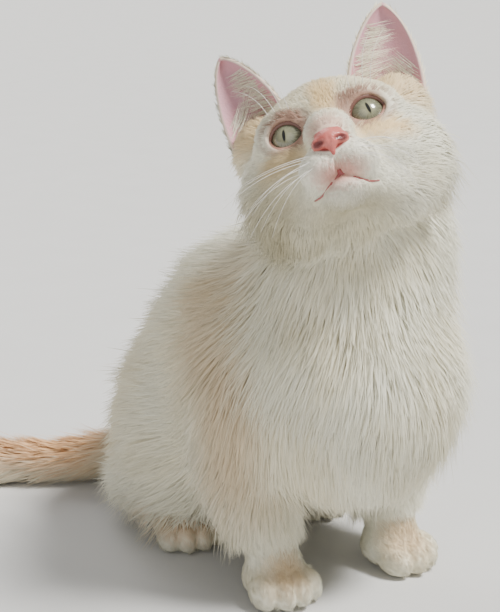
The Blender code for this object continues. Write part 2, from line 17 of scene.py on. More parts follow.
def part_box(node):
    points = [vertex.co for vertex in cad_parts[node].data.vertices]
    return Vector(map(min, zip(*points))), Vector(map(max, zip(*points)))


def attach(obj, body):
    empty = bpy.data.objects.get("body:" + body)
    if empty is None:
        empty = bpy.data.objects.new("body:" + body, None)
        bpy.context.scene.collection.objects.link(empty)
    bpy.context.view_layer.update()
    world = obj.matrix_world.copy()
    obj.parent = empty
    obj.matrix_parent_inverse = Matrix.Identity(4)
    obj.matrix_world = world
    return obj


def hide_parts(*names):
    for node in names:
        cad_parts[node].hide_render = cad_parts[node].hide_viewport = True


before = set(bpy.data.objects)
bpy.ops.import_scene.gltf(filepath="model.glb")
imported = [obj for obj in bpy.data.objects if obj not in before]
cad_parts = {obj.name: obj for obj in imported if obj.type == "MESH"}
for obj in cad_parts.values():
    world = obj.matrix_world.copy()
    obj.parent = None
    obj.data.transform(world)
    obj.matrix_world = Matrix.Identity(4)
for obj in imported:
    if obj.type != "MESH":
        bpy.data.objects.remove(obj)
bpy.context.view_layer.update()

MM = 0.001
SIDES = {"left": 1, "right": -1}

# Driving sizes, mm
PAW_SPREAD = 29.0  # midline to the middle of each front paw
TRUNK_HALF = 44.0  # half of the trunk's width, without the coat
RIB_Y, RIB_HEIGHT = 34.0, 78.0
PELVIS_Y, PELVIS_HEIGHT = 92.0, 43.0
WITHERS_HEIGHT = 110.0
HEAD_HALF = 30.0  # half of the skull's width
EYE_LINE = (-29.7, -24.5, 191.5)  # the head's own origin, just ahead of the middle between the eyes
HEAD_TURN, HEAD_LIFT, HEAD_TILT = -45.5, 30.2, -21.9  # degrees
EYE_SPACING = 25.5
EYE_DEPTH = 9.6
EYE_RADIUS = 9.2
EYE_SPLAY, EYE_SLANT = 16.0, 10.0
LID_THICKNESS = 1.2
SLIT_WIDTH, SLIT_HEIGHT = 13.6, 9.8
LIP_WIDTH = 0.65  # bare to either side of the line of the mouth
SLIT_POWER = 1.25  # how pointed the corners between the lids are
IRIS_RADIUS = 6.1
PUPIL_HALF_WIDTH, PUPIL_HALF_HEIGHT = 0.62, 2.2
EAR_WALL = 1.3
EAR_CUP = 9.0
TAIL_PATH = [(0, 116, 30), (-10, 139, 17), (-42, 160, 10), (-82, 181, 9), (-118, 193, 9), (-150, 192, 8.5)]

# How far the skin lies inside the bare forms
TRUNK_DEPTH = 3.0
HEAD_DEPTH = 1.6
LEG_DEPTH = 1.5
TAIL_SKIN = 5.2  # the tail's radius under its coat

# The coat
STRANDS = 114000
TUFTS = 27000  # short broad tufts under the long strands
LONG_HAIR = 9.5  # longer hair falls in locks, over the tufts
RINGS = 2  # lengths between the root and the tip of each strand and tuft
BODY_HAIR, CHEST_HAIR, TAIL_HAIR, PAW_HAIR = 30.0, 33.0, 25.0, 3.8
FACE_HAIR, MUZZLE_HAIR = 1.9, 3.2
RUFF_HAIR, CHEEK_HAIR = 15.0, 6.0  # added to the face's hair at the ruff and throat, and on the cheeks
HAIR_WIDTH, WIDTH_GAIN = 0.28, 0.0048  # the finest hair's width, and what each millimetre of length adds
LIFT, TUFT_LIFT = 0.36, 0.34  # height of a tip over the skin, as a share of the hair's length
ROUND = 0.55  # how far a strand's shading turns over from edge to edge; 0 follows the skin alone
SUNK = 0.7  # how deep a root sits in the skin
SOLE_GAP, PATH_GAP, HAIR_GAP = 0.3, 0.35, 0.2  # clear of the floor: soles, strands' middles, their surface
STRAYS, STRAY_LIFT = 0.06, 1.45  # share of strands that stand out from the coat, and how much higher
TUFT_LENGTHS = (0.45, 0.75)  # tufts' lengths, as shares of the hair's length there
STRAND_LENGTHS = (0.72, 1.16)
EAR_HAIRS, CUP_HAIRS = 2800, 340  # on the back and rim of each ear, and across its cup
PATCH = 0.003  # each strand's patch on the unwrapped skin
SEED = 11


# Places


def pose_of_head():
    """The head's own origin and axes: -Y ahead of the face, X to its left and Z up."""
    turn = Matrix.Rotation(math.radians(HEAD_TURN), 4, "Z")
    lift = Matrix.Rotation(math.radians(-HEAD_LIFT), 4, "X")
    tilt = Matrix.Rotation(math.radians(HEAD_TILT), 4, "Y")
    return Matrix.Translation(EYE_LINE) @ turn @ lift @ tilt


def pose_of_eye(side):
    """At the eyeball's centre, -Y along the gaze and X along the slit between the lids."""
    centre = Matrix.Translation((side * EYE_SPACING / 2, EYE_DEPTH, 0))
    splay = Matrix.Rotation(math.radians(side * EYE_SPLAY), 4, "Z")
    slant = Matrix.Rotation(math.radians(-side * EYE_SLANT), 4, "Y")
    return HEAD @ centre @ splay @ slant


HEAD = pose_of_head()
EYES = {name: pose_of_eye(side) for name, side in SIDES.items()}


def into(pose, points):
    """Plan points in the coordinates of a pose."""
    return (np.asarray(points) - np.array(pose.translation)) @ np.array(pose.to_3x3())


def out_of(pose, points):
    """Points in the coordinates of a pose, in plan."""
    return np.asarray(points) @ np.array(pose.to_3x3()).T + np.array(pose.translation)


low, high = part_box("eye_left")
SHIFT = np.array((low + high) / 2) - np.array(EYES["left"].translation) * MM
GROUND = -SHIFT[2] / MM  # the floor's height in plan


def to_frame(points):
    return np.asarray(points) * MM + SHIFT


def smooth(start, end, value):
    """0 at start and 1 at end, eased between them."""
    t = np.clip((value - start) / (end - start), 0, 1)
    return t * t * (3 - 2 * t)


def unit(vectors):
    return vectors / np.maximum(np.linalg.norm(vectors, axis=-1, keepdims=True), 1e-9)


def tail_line(t):
    """Points on the smooth tail line, t from 0 at the root to 1 at the tip."""
    path, last = np.array(TAIL_PATH, float), len(TAIL_PATH) - 1
    t = np.atleast_1d(t)
    k = np.clip((t * last).astype(int), 0, last - 1)
    u = (t * last - k)[:, None]
    before, start, end, after = (path[np.clip(k + i, 0, last)] for i in (-1, 0, 1, 2))
    return 0.5 * (
        2 * start + (end - before) * u + (2 * before - 5 * start + 4 * end - after) * u**2
        + (3 * start - before - 3 * end + after) * u**3
    )


# The skin, as a field of distances that its forms melt into


def along_axis(x, y, z, middle, axis):
    """How far points lie from a middle along an axis."""
    return (x - middle[0]) * axis[0] + (y - middle[1]) * axis[1] + (z - middle[2]) * axis[2]


def ball(centre, radii, turn=(0, 0, 0), pose=Matrix()):
    """An ellipsoid turned by degrees about X, Y and Z: its distance function, and the box that holds it."""
    spin = Matrix.Identity(4)
    for degrees, axis in zip(turn, "XYZ"):
        spin = Matrix.Rotation(math.radians(degrees), 4, axis) @ spin
    place = pose @ Matrix.Translation(centre) @ spin
    middle, axes, reach = np.array(place.translation), np.array(place.to_3x3()), max(radii)

    def distance(x, y, z):
        near = slope = 0
        for axis, radius in zip(axes.T, radii):
            along = along_axis(x, y, z, middle, axis)
            near = near + (along / radius) ** 2
            slope = slope + (along / radius**2) ** 2
        near = np.sqrt(near)
        return near * (near - 1) / np.maximum(np.sqrt(slope), 1e-6)

    return distance, middle - reach, middle + reach


def limb(points, radii, pose=Matrix()):
    """Round cones through points, one form for each length."""
    made = []
    points = [np.array(pose @ Vector(point)) for point in points]
    for (a, b), (ra, rb) in zip(zip(points, points[1:]), zip(radii, radii[1:])):

        def distance(x, y, z, a=a, b=b, ra=ra, rb=rb):
            run = b - a
            t = ((x - a[0]) * run[0] + (y - a[1]) * run[1] + (z - a[2]) * run[2]) / (run @ run)
            t = np.clip(t, 0, 1)
            away = [(p - a[i] - run[i] * t) ** 2 for i, p in enumerate((x, y, z))]
            return np.sqrt(away[0] + away[1] + away[2]) - (ra + (rb - ra) * t)

        reach = max(ra, rb)
        made.append((distance, np.minimum(a, b) - reach, np.maximum(a, b) + reach))
    return made


def smooth_min(a, b, blend):
    """The lesser of two distances, rounded off where they are nearly the same."""
    near = np.maximum(blend - np.abs(a - b), 0) / blend
    return np.minimum(a, b) - near * near * (blend / 4)


class Lattice:
    """Distances to a surface on a rectilinear lattice, less than 0 inside it."""

    FAR = 34.0  # what the field starts from, and how far round itself each form is worked out

    def __init__(self, axes):
        self.axes = [axis.astype(np.float32) for axis in axes]
        self.field = np.full([len(axis) for axis in axes], self.FAR, np.float32)

    def window(self, low, high):
        """The part of the lattice round a box, and its coordinates."""
        where = tuple(
            slice(*np.searchsorted(axis, (start - self.FAR, end + self.FAR)))
            for axis, start, end in zip(self.axes, low, high)
        )
        spans = (axis[part] for axis, part in zip(self.axes, where))
        return where, np.meshgrid(*spans, indexing="ij", sparse=True)

    def add(self, forms, blend):
        """Melts forms into the field, one after another."""
        for distance, low, high in forms:
            where, grids = self.window(low, high)
            self.field[where] = smooth_min(self.field[where], distance(*grids), blend)

    def melt(self, other, blend):
        """Melts another lattice's field into this one."""
        self.field = smooth_min(self.field, other.field, blend)

    def carve(self, forms, blend):
        """Cuts forms out of the field."""
        for distance, low, high in forms:
            where, grids = self.window(low, high)
            self.field[where] = -smooth_min(-self.field[where], distance(*grids), blend)

    def at(self, points):
        """The distance at each point, from the eight corners of its cell."""
        cells, shares = [], []
        for axis, value in zip(self.axes, np.asarray(points, np.float32).T):
            cell = np.clip(np.searchsorted(axis, value) - 1, 0, len(axis) - 2)
            cells.append(cell)
            shares.append(np.clip((value - axis[cell]) / (axis[cell + 1] - axis[cell]), 0, 1))
        total = 0
        for corner in itertools.product((0, 1), repeat=3):
            weight = 1
            for bit, share in zip(corner, shares):
                weight = weight * (share if bit else 1 - share)
            total = total + weight * self.field[tuple(cell + bit for cell, bit in zip(cells, corner))]
        return total

    def slope(self, points, step=1.2):
        """The way straight off the skin."""
        rises = [self.at(points + step * way) - self.at(points - step * way) for way in np.eye(3)]
        return unit(np.stack(rises, 1))

    def first_met(self, start, way, reach=60, step=0.1):
        """Where a straight line from start first meets the skin."""
        line = np.asarray(start) + np.arange(0, reach, step)[:, None] * np.asarray(way)
        return line[np.argmax(self.at(line) < 0)]

    def surface(self):
        """The skin's vertices and its faces of four, one vertex in each cell that it passes through."""
        inside = self.field < 0
        cells = [size - 1 for size in inside.shape]
        count = np.zeros(cells, np.uint8)
        for corner in itertools.product((0, 1), repeat=3):
            count += inside[tuple(slice(bit, bit + size) for bit, size in zip(corner, cells))]
        active = (count > 0) & (count < 8)
        number = np.full(cells, -1, np.int32)
        number[active] = np.arange(active.sum())
        corners = np.argwhere(active)
        total, hits = np.zeros(corners.shape), np.zeros(len(corners))
        for axis, offset in itertools.product(range(3), itertools.product((0, 1), repeat=2)):
            first = corners.copy()
            first[:, (axis + 1) % 3] += offset[0]
            first[:, (axis + 2) % 3] += offset[1]
            second = first.copy()
            second[:, axis] += 1
            a, b = self.field[tuple(first.T)], self.field[tuple(second.T)]
            crosses = (a < 0) != (b < 0)
            share = np.where(crosses, a / np.where(a == b, 1, a - b), 0)
            place = np.stack([self.axes[i][first[:, i]] for i in range(3)], 1).astype(float)
            place[:, axis] += share * (self.axes[axis][second[:, axis]] - self.axes[axis][first[:, axis]])
            total += place * crosses[:, None]
            hits += crosses
        faces = []
        for axis in range(3):
            u, v = (axis + 1) % 3, (axis + 2) % 3
            start, end = [slice(1, -1)] * 3, [slice(1, -1)] * 3
            start[axis], end[axis] = slice(None, -1), slice(1, None)
            a, b = inside[tuple(start)], inside[tuple(end)]
            edges = np.argwhere(a != b)
            leaves = a[tuple(edges.T)]
            edges[:, u] += 1
            edges[:, v] += 1
            ring = []
            for back_u, back_v in ((0, 0), (1, 0), (1, 1), (0, 1)):
                cell = edges.copy()
                cell[:, u] -= back_u
                cell[:, v] -= back_v
                ring.append(number[tuple(cell.T)])
            ring = np.stack(ring, 1)
            faces.append(np.where(leaves[:, None], ring, ring[:, ::-1]))
        return total / hits[:, None], np.concatenate(faces)


def lattice_axis(low, high, spans, fine, coarse):
    """Coordinates from low to high, fine inside the spans and coarse outside them."""
    values = [low]
    while values[-1] < high:
        near = any(start <= values[-1] < end for start, end in spans)
        values.append(values[-1] + (fine if near else coarse))
    return np.array(values)


def lessened(radii, depth):
    return [radius - depth for radius in radii]


def trunk_forms():
    """Pelvis, loin, ribs, chest, neck, shoulders and thighs."""
    masses = [
        ((0, PELVIS_Y, PELVIS_HEIGHT), (TRUNK_HALF + 1, 42, 43), 0),
        ((0, PELVIS_Y - 9, 62), (TRUNK_HALF - 1, 40, 44), 0),
        ((0, PELVIS_Y - 26, 74), (TRUNK_HALF + 1, 42, 46), 0),
        ((0, RIB_Y + 24, 89), (TRUNK_HALF - 1, 40, 40), 0),
        ((0, RIB_Y, RIB_HEIGHT), (TRUNK_HALF + 1, 42, 46), 0),
        ((3, 0, RIB_HEIGHT + 4), (42, 36, 43), 0),
        ((0, 44, WITHERS_HEIGHT - 6), (40, 36, 34), 0),
        ((2, 22, WITHERS_HEIGHT), (36, 32, 28), 0),
        ((6, 9, 124), (39, 34, 28), 0),
        ((9, 8, 144), (34, 31, 24), 0),
    ]
    for side in SIDES.values():
        masses.append(((side * 30, 20, 80), (21, 27, 36), 0))
        masses.append(((side * 28, PELVIS_Y - 12, 40), (25, 35, 35), 25))
    return [ball(centre, lessened(radii, TRUNK_DEPTH), (pitch, 0, 0)) for centre, radii, pitch in masses]


def leg_forms(side):
    """Upper arm, forearm and wrist, and the long hind foot from the heel."""
    arm = [(side * 31, 26, 62), (side * 31, 25, 50), (side * 30.5, 17, 34), (side * PAW_SPREAD, 9, 16)]
    foot = [(side * 38, 107, 12), (side * 33, 82, 10)]
    return limb(arm, lessened((18, 15.5, 13.5, 11.5), LEG_DEPTH)) + limb(foot, lessened((12, 11), LEG_DEPTH))


def paw_forms(place, side, splay):
    """A broad paw on the floor: its back, and its four toes."""
    pose = Matrix.Translation(place) @ Matrix.Rotation(math.radians(side * splay), 4, "Z")
    back = [ball((0, 0.5, 8), (13.4, 13.5, 8), pose=pose)]
    toes = [
        ball((across, -ahead, 6.2), (4.7, 7.6, 6.2), (12, 0, 0), pose)
        for across, ahead in ((-10, 7), (-3.5, 10.6), (3.5, 10.6), (10, 7))
    ]
    return back, toes


def head_forms():
    """Skull, brow, bridge, cheeks, jaw and the roots of the ears."""
    made = []

    def add(centre, radii, turn=(0, 0, 0)):
        made.append(ball(centre, lessened(radii, HEAD_DEPTH), turn, HEAD))

    add((0, 31, 1), (HEAD_HALF, 33, 24))
    add((0, 16, 8), (21, 16.5, 14.5))
    made.extend(limb([(0, 9, 0), (0, -5, -7.5), (0, -13, -12.5)], lessened((10.5, 9, 7), HEAD_DEPTH), HEAD))
    add((0, -3, -20), (14.5, 14.5, 10.5))
    add((0, 22, -20), (18, 20, 13))
    for side in SIDES.values():
        add((side * 21, 25, -10), (16.5, 20, 18))
        add((side * 14, 11, 6), (12, 11, 9))
        add((side * 15, 12, -1), (14, 13, 12))
        add((side * 14, 9, -13), (14, 13, 11))
        jaw = [(side * 3, -1, -25.5), (side * 17, 24, -20)]
        made.extend(limb(jaw, lessened((9, 14), HEAD_DEPTH), HEAD))
        add((side * 26, 31, 11), (11.5, 11, 13), (0, side * -30, 0))
    return made


def muzzle_forms():
    """The whisker pads and the chin."""
    made = [ball((0, -5.5, -29.2), (7.6, 8, 5.4), pose=HEAD)]
    for side in SIDES.values():
        made.append(ball((side * 6, -8.6, -20.6), (7.2, 8.6, 6.3), pose=HEAD))
    return made


def slit_form(side_name):
    """The almond between the lids, open towards the gaze."""
    pose = EYES[side_name]
    axes, middle = np.array(pose.to_3x3()), np.array(pose.translation)

    def distance(x, y, z):
        local = [along_axis(x, y, z, middle, axis) for axis in axes.T]
        reach = np.sqrt(np.maximum(1 - (local[0] / (SLIT_WIDTH / 2)) ** 2, 0)) ** SLIT_POWER
        aside = np.maximum(np.abs(local[0]) - SLIT_WIDTH / 2, 0)
        return np.maximum(np.abs(local[2]) - SLIT_HEIGHT / 2 * reach + aside, local[1])

    return distance, middle - EYE_RADIUS, middle + EYE_RADIUS


MOUTH = [(0, -21.5), (0, -24), (0.4, -25.6), (4.5, -27.8), (8.5, -28.6), (11.5, -27.6)]  # across and height


def on_face(lattice, across, height):
    """The skin's point at a place across and up the face, met from ahead."""
    start = out_of(HEAD, (across, -40, height))
    return lattice.first_met(start, np.array(HEAD.to_3x3() @ Vector((0, 1, 0))))


def mouth_path(lattice, side):
    """Points on the skin down the split of the upper lip and round to the corner of the mouth."""
    return np.array([on_face(lattice, side * across, height) for across, height in MOUTH])


def sole_form():
    """All that lies lower than the flat soles."""

    def distance(x, y, z):
        return z - GROUND - SOLE_GAP + 0 * (x + y)

    return distance, np.array((-170, -60, -6)), np.array((70, 210, 2))


def make_lattice():
    """The whole skin's field, with its finest cells about the head and thin ones at the floor."""
    fine, coarse = 0.9, 2.1
    x = lattice_axis(-172, 72, [(-80, 30)], fine, coarse)
    y = lattice_axis(-62, 214, [(-60, 48)], fine, coarse)
    z = lattice_axis(-6, 252, [(148, 243)], fine, coarse)
    z = np.unique(np.concatenate([z, lattice_axis(-6, 24, [], 1.2, 1.2)]))
    z = z[np.concatenate([[True], np.diff(z) > 0.4])]
    lattice = Lattice((x, y, z))
    lattice.add(trunk_forms(), 12)
    head = Lattice((x, y, z))
    head.add(head_forms(), 5)
    lattice.melt(head, 17)
    lattice.add(muzzle_forms(), 2.6)
    paws = []
    for side in SIDES.values():
        lattice.add(leg_forms(side), 8)
        paws.append(paw_forms((side * PAW_SPREAD, 6, GROUND), side, 20 if side > 0 else 4))
        paws.append(paw_forms((side * 33, 72, GROUND), side, 12))
    for back, toes in paws:
        lattice.add(back, 6)
        lattice.add(toes, 1.4)
    spine = [tuple(point) for point in tail_line(np.linspace(0, 1, 15))]
    radii = [TAIL_SKIN * (1.6 - 0.6 * min(1, i / 5)) for i in range(14)]
    lattice.add(limb(spine, [*radii, TAIL_SKIN * 0.6]), 5)
    lids = []
    for name in SIDES:
        lids.append(ball((0, 0, 0), (EYE_RADIUS + LID_THICKNESS,) * 3, pose=EYES[name]))
    lattice.add(lids, 3)
    lattice.carve([slit_form(name) for name in SIDES], 0.9)
    for side in SIDES.values():
        lattice.carve(limb(mouth_path(lattice, side), [0.85] * len(MOUTH)), 0.8)
    lattice.carve([sole_form()], 1.0)
    return lattice


# Meshes


def placed(name, data):
    """A new object in the scene."""
    obj = bpy.data.objects.new(name, data)
    bpy.context.scene.collection.objects.link(obj)
    return obj


def mesh_of(name, points, faces, finish, attributes=None):
    """A smooth-shaded object of points in plan and faces of three or four, with its attributes by name."""
    mesh = bpy.data.meshes.new(name)
    size = faces.shape[1]
    mesh.vertices.add(len(points))
    mesh.vertices.foreach_set("co", to_frame(points).astype(np.float32).ravel())
    mesh.loops.add(faces.size)
    mesh.loops.foreach_set("vertex_index", faces.astype(np.int32).ravel())
    mesh.polygons.add(len(faces))
    mesh.polygons.foreach_set("loop_start", np.arange(0, faces.size, size, dtype=np.int32))
    mesh.update(calc_edges=True)
    mesh.polygons.foreach_set("use_smooth", np.full(len(faces), True))
    obj = placed(name, mesh)
    mesh.materials.append(finish)
    for key, values in (attributes or {}).items():
        set_attribute(mesh, key, values)
    return obj


def set_attribute(mesh, name, values):
    values = np.asarray(values, np.float32)
    kind, field = ("FLOAT", "value") if values.ndim == 1 else ("FLOAT_VECTOR", "vector")
    mesh.attributes.new(name, kind, "POINT").data.foreach_set(field, values.ravel())


def baked(obj):
    """The object with its modifiers applied to its mesh."""
    graph = bpy.context.evaluated_depsgraph_get()
    mesh = bpy.data.meshes.new_from_object(obj.evaluated_get(graph))
    obj.modifiers.clear()
    obj.data = mesh
    return obj


def softened(obj):
    """The object with the steps of its lattice evened out."""
    soften = obj.modifiers.new("Soften", "SMOOTH")
    soften.factor, soften.iterations = 0.5, 2
    return baked(obj)


def points_of(mesh):
    """The mesh's vertices in plan."""
    places = np.empty(len(mesh.vertices) * 3, np.float32)
    mesh.vertices.foreach_get("co", places)
    return (places.reshape(-1, 3) - SHIFT) / MM


def triangles_of(mesh):
    mesh.calc_loop_triangles()
    corners = np.empty(len(mesh.loop_triangles) * 3, np.int32)
    mesh.loop_triangles.foreach_get("vertices", corners)
    return corners.reshape(-1, 3)


# Finishes


class Socket:
    """A node's output, on which arithmetic adds Math nodes."""

    def __init__(self, finish, link):
        self.finish, self.link = finish, link

    def __add__(self, other):
        return self.finish.maths("ADD", self, other)

    def __sub__(self, other):
        return self.finish.maths("SUBTRACT", self, other)

    def __rsub__(self, other):
        return self.finish.maths("SUBTRACT", other, self)

    def __mul__(self, other):
        return self.finish.maths("MULTIPLY", self, other)

    def __truediv__(self, other):
        return self.finish.maths("DIVIDE", self, other)

    def __pow__(self, other):
        return self.finish.maths("POWER", self, other)

    __radd__ = __add__
    __rmul__ = __mul__

    def held(self):
        """Kept between 0 and 1."""
        return self.finish.node("ShaderNodeClamp", {}, {"Value": self})


class Finish:
    """A material on one Principled BSDF."""

    def __init__(self, name, **constants):
        self.material = bpy.data.materials.new(name)
        self.material.use_nodes = True
        self.tree = self.material.node_tree
        self.shader = self.tree.nodes["Principled BSDF"]
        for key, value in constants.items():
            self.shader.inputs[key.replace("_", " ").title()].default_value = value

    def node(self, kind, settings, inputs, output=0):
        made = self.tree.nodes.new(kind)
        for key, value in settings.items():
            setattr(made, key, value)
        for key, value in inputs.items():
            if isinstance(value, Socket):
                self.tree.links.new(value.link, made.inputs[key])
            else:
                made.inputs[key].default_value = value
        return Socket(self, made.outputs[output])

    def maths(self, operation, *values):
        return self.node("ShaderNodeMath", {"operation": operation}, dict(enumerate(values)))

    def vector(self, operation, *values, output=0):
        return self.node("ShaderNodeVectorMath", {"operation": operation}, dict(enumerate(values)), output)

    def attribute(self, name, output="Vector"):
        return self.node("ShaderNodeAttribute", {"attribute_name": name}, {}, output)

    def place(self):
        """Object coordinates in millimetres."""
        place = self.node("ShaderNodeTexCoord", {}, {}, "Object")
        return self.vector("MULTIPLY", place, (1 / MM,) * 3)

    def noise(self, place, size, detail=2.0, stretch=(1, 1, 1)):
        """Smooth noise whose grains are about size across, from 0 to 1."""
        scaled = self.vector("MULTIPLY", place, tuple(part / size for part in stretch))
        return self.node("ShaderNodeTexNoise", {}, {"Vector": scaled, "Scale": 1.0, "Detail": detail}, "Fac")

    def axis(self, vector, index):
        return self.node("ShaderNodeSeparateXYZ", {}, {0: vector}, index)

    def mixed(self, first, second, share):
        sockets = {"Factor": share, 6: first, 7: second}
        return self.node("ShaderNodeMix", {"data_type": "RGBA"}, sockets, 2)

    def scaled(self, colour, share):
        sockets = {0: colour, "Scale": share}
        return self.node("ShaderNodeVectorMath", {"operation": "SCALE"}, sockets)

    def spot(self, place, centre, radii, edge):
        """1 inside an ellipsoid, falling to 0 over its edge, a share of its radii."""
        away = self.vector("SUBTRACT", place, centre)
        away = self.vector("DIVIDE", away, radii)
        away = self.vector("LENGTH", away, output="Value")
        return ((1 + edge / 2 - away) / edge).held()

    def marked(self, colour, place, marks):
        """The colour with soft spots of other colours over it."""
        for centre, radii, edge, mark, strength in marks:
            colour = self.mixed(colour, mark, self.spot(place, centre, radii, edge) * strength)
        return colour

    def feed(self, key, value):
        self.tree.links.new(value.link, self.shader.inputs[key])

    def bump(self, height, depth, strength=1.0):
        sockets = {"Height": height, "Distance": depth * MM, "Strength": strength}
        self.feed("Normal", self.node("ShaderNodeBump", {}, sockets, "Normal"))


def tint(red, green, blue):
    """A colour given as it is seen on screen, 0 to 255, in linear light."""
    values = [part / 255 for part in (red, green, blue)]
    return (*[part / 12.92 if part < 0.04045 else ((part + 0.055) / 1.055) ** 2.4 for part in values], 1)


CREAM = tint(241, 238, 218)
BUTTER = tint(231, 215, 172)
APRICOT = tint(218, 156, 88)
PEACH = tint(234, 196, 128)
WHITE = tint(250, 247, 236)
# Painted shade, a greyed olive
PAINTED_SHADE_OLIVE = tint(166, 156, 122)
ROSE = tint(212, 140, 122)
LID_SHADE = tint(160, 114, 94)
# Painted shade along the upper lids, a dark umber
PAINTED_LID_SHADE = tint(122, 84, 66)
# Dark maroon: painted shade behind the nostril openings, and the real dark pink of the hair at the nose's
# edge
MAROON_AND_NOSTRIL_SHADE = tint(140, 56, 52)
TAN = tint(202, 166, 112)


def on_both_sides(centre, *look):
    """A mark on the right of the head, and its mirror image on the left."""
    x, y, z = centre
    return ((-x, y, z), *look), (centre, *look)


# Markings in the head's own frame, and painted shade on the lower right cheek, under the chin, along the
# upper lids and behind the nostrils: centre, radii, soft edge, colour and strength
FACE_MARKS = [
    ((0, 10, 20), (30, 26, 14), 1.0, BUTTER, 0.5),
    ((2, 1, 8), (4.5, 14, 11), 0.9, PEACH, 0.75),
    ((-17, 1, -10.5), (11, 9, 5), 1.0, PEACH, 0.7),
    ((17, 1, -9.5), (12, 9, 4.5), 1.0, PEACH, 0.75),
    *on_both_sides((26, 22, 14), (11, 12, 10), 0.9, PEACH, 0.6),
    # Painted shade on the lower right cheek, and under the chin and throat
    ((-26, 14, -20), (16, 20, 12), 1.0, PAINTED_SHADE_OLIVE, 0.75),
    ((0, 0, -38), (22, 24, 10), 1.0, PAINTED_SHADE_OLIVE, 0.85),
    ((0, -15, -21), (15, 11, 7), 0.8, WHITE, 0.45),
    ((0, -12, -31), (9, 8, 6), 0.8, WHITE, 0.35),
    ((0, -15, -25.5), (8, 8, 4.2), 0.9, ROSE, 0.75),
    ((0, -14, -9.5), (5.5, 8, 5), 0.9, ROSE, 0.5),
    # Under the nose: painted shade seen through the nostrils, and the real dark pink of the hair round the
    # nose
    ((0, -16.5, -14.5), (6.0, 6.5, 4.0), 0.2, MAROON_AND_NOSTRIL_SHADE, 1.0),
    *on_both_sides((12.9, 0.5, 0.4), (9.4, 10, 7.8), 0.4, LID_SHADE, 0.85),
    # Painted shade along each upper lid
    *on_both_sides((12.5, 1, 5.0), (8.5, 9, 1.7), 0.7, PAINTED_LID_SHADE, 0.35),
]
# Markings on the body, in plan
BODY_MARKS = [
    ((0, 125, 95), (60, 60, 60), 1.0, BUTTER, 0.8),
    ((-34, 24, 122), (20, 13, 28), 1.0, TAN, 0.5),
    ((-46, 10, 88), (20, 10, 40), 1.0, TAN, 0.55),
    ((46, 12, 92), (17, 9, 42), 1.0, TAN, 0.35),
    ((-31, -6, 15), (13, 9, 9), 0.9, TAN, 0.7),
    ((28, -4, 16), (14, 10, 9), 0.9, TAN, 0.7),
    ((-38, 64, 14), (14, 13, 9), 0.9, APRICOT, 0.5),
    ((38, 64, 14), (14, 13, 9), 0.9, APRICOT, 0.4),
]


def coat_colour(finish):
    """The coat's colour at a strand's root, the same on the skin under it."""
    root, face = finish.attribute("root"), finish.attribute("face")
    wander = finish.noise(root, 22)
    colour = finish.mixed(CREAM, BUTTER, ((wander - 0.42) * 2.6).held() * 0.55)
    colour = finish.marked(colour, root, BODY_MARKS)
    tail = finish.axis(root, 1)
    height = finish.axis(root, 2)
    on_tail = ((tail - 138) / 16).held() * ((40 - height) / 14).held()
    colour = finish.mixed(colour, APRICOT, on_tail * (0.12 + 0.7 * ((height - 8) / 6).held()))
    return finish.marked(colour, face, FACE_MARKS)


def strand_finish():
    finish = Finish("cream_hair", roughness=0.55)
    along, shade = finish.attribute("along", "Fac"), finish.attribute("shade", "Fac")
    light = (0.86 + 0.18 * along) * (0.9 + 0.16 * shade)
    finish.feed("Base Color", finish.scaled(coat_colour(finish), light))
    return finish.material


def skin_finish():
    finish = Finish("undercoat", roughness=0.8)
    place = finish.place()
    grain = finish.noise(place, 0.6, 3.0)
    finish.feed("Base Color", finish.scaled(coat_colour(finish), 0.86 + 0.16 * grain))
    finish.bump(grain, 0.25)
    return finish.material


def eye_finish():
    """Pale grey-green iris round an upright pupil, under a wet clear front."""
    finish = Finish("eyeball", roughness=0.18, coat_weight=1.0, coat_roughness=0.02)
    gaze = finish.attribute("gaze")
    across, height = finish.axis(gaze, 0), finish.axis(gaze, 2)
    out = (across * across + height * height) ** 0.5
    turn = finish.maths("ARCTAN2", height, across)
    around = finish.node("ShaderNodeCombineXYZ", {}, {0: turn * 9, 1: out * 0.35})
    fibres = finish.noise(around, 1.0, 3.0)
    iris = finish.mixed(tint(130, 130, 106), tint(84, 86, 68), ((fibres - 0.35) * 2.4).held())
    iris = finish.mixed(iris, tint(170, 166, 130), ((3.4 - out) / 1.6).held() * 0.5)
    iris = finish.mixed(iris, tint(60, 58, 48), ((out - 5.0) / 0.9).held() * 0.9)
    colour = finish.mixed(iris, tint(206, 190, 180), ((out - IRIS_RADIUS) / 0.4).held())
    slit = ((across / PUPIL_HALF_WIDTH) ** 2.0 + (height / PUPIL_HALF_HEIGHT) ** 2.0) ** 0.5
    colour = finish.mixed(colour, tint(22, 22, 19), ((1.2 - slit) / 0.4).held())
    finish.feed("Base Color", colour)
    return finish.material


def lid_finish():
    """The bare edge of the lids, dark above and pale below."""
    finish = Finish("lid_edge", roughness=0.4, coat_weight=0.25)
    gaze = finish.attribute("gaze")
    height = finish.axis(gaze, 2)
    grain = finish.noise(finish.place(), 0.5)
    upper = finish.mixed(tint(98, 64, 54), tint(124, 84, 72), grain)
    lower = finish.mixed(tint(178, 130, 112), tint(198, 152, 134), grain)
    finish.feed("Base Color", finish.mixed(lower, upper, ((height + 1.6) / 1.6).held()))
    finish.bump(grain, 0.08)
    return finish.material


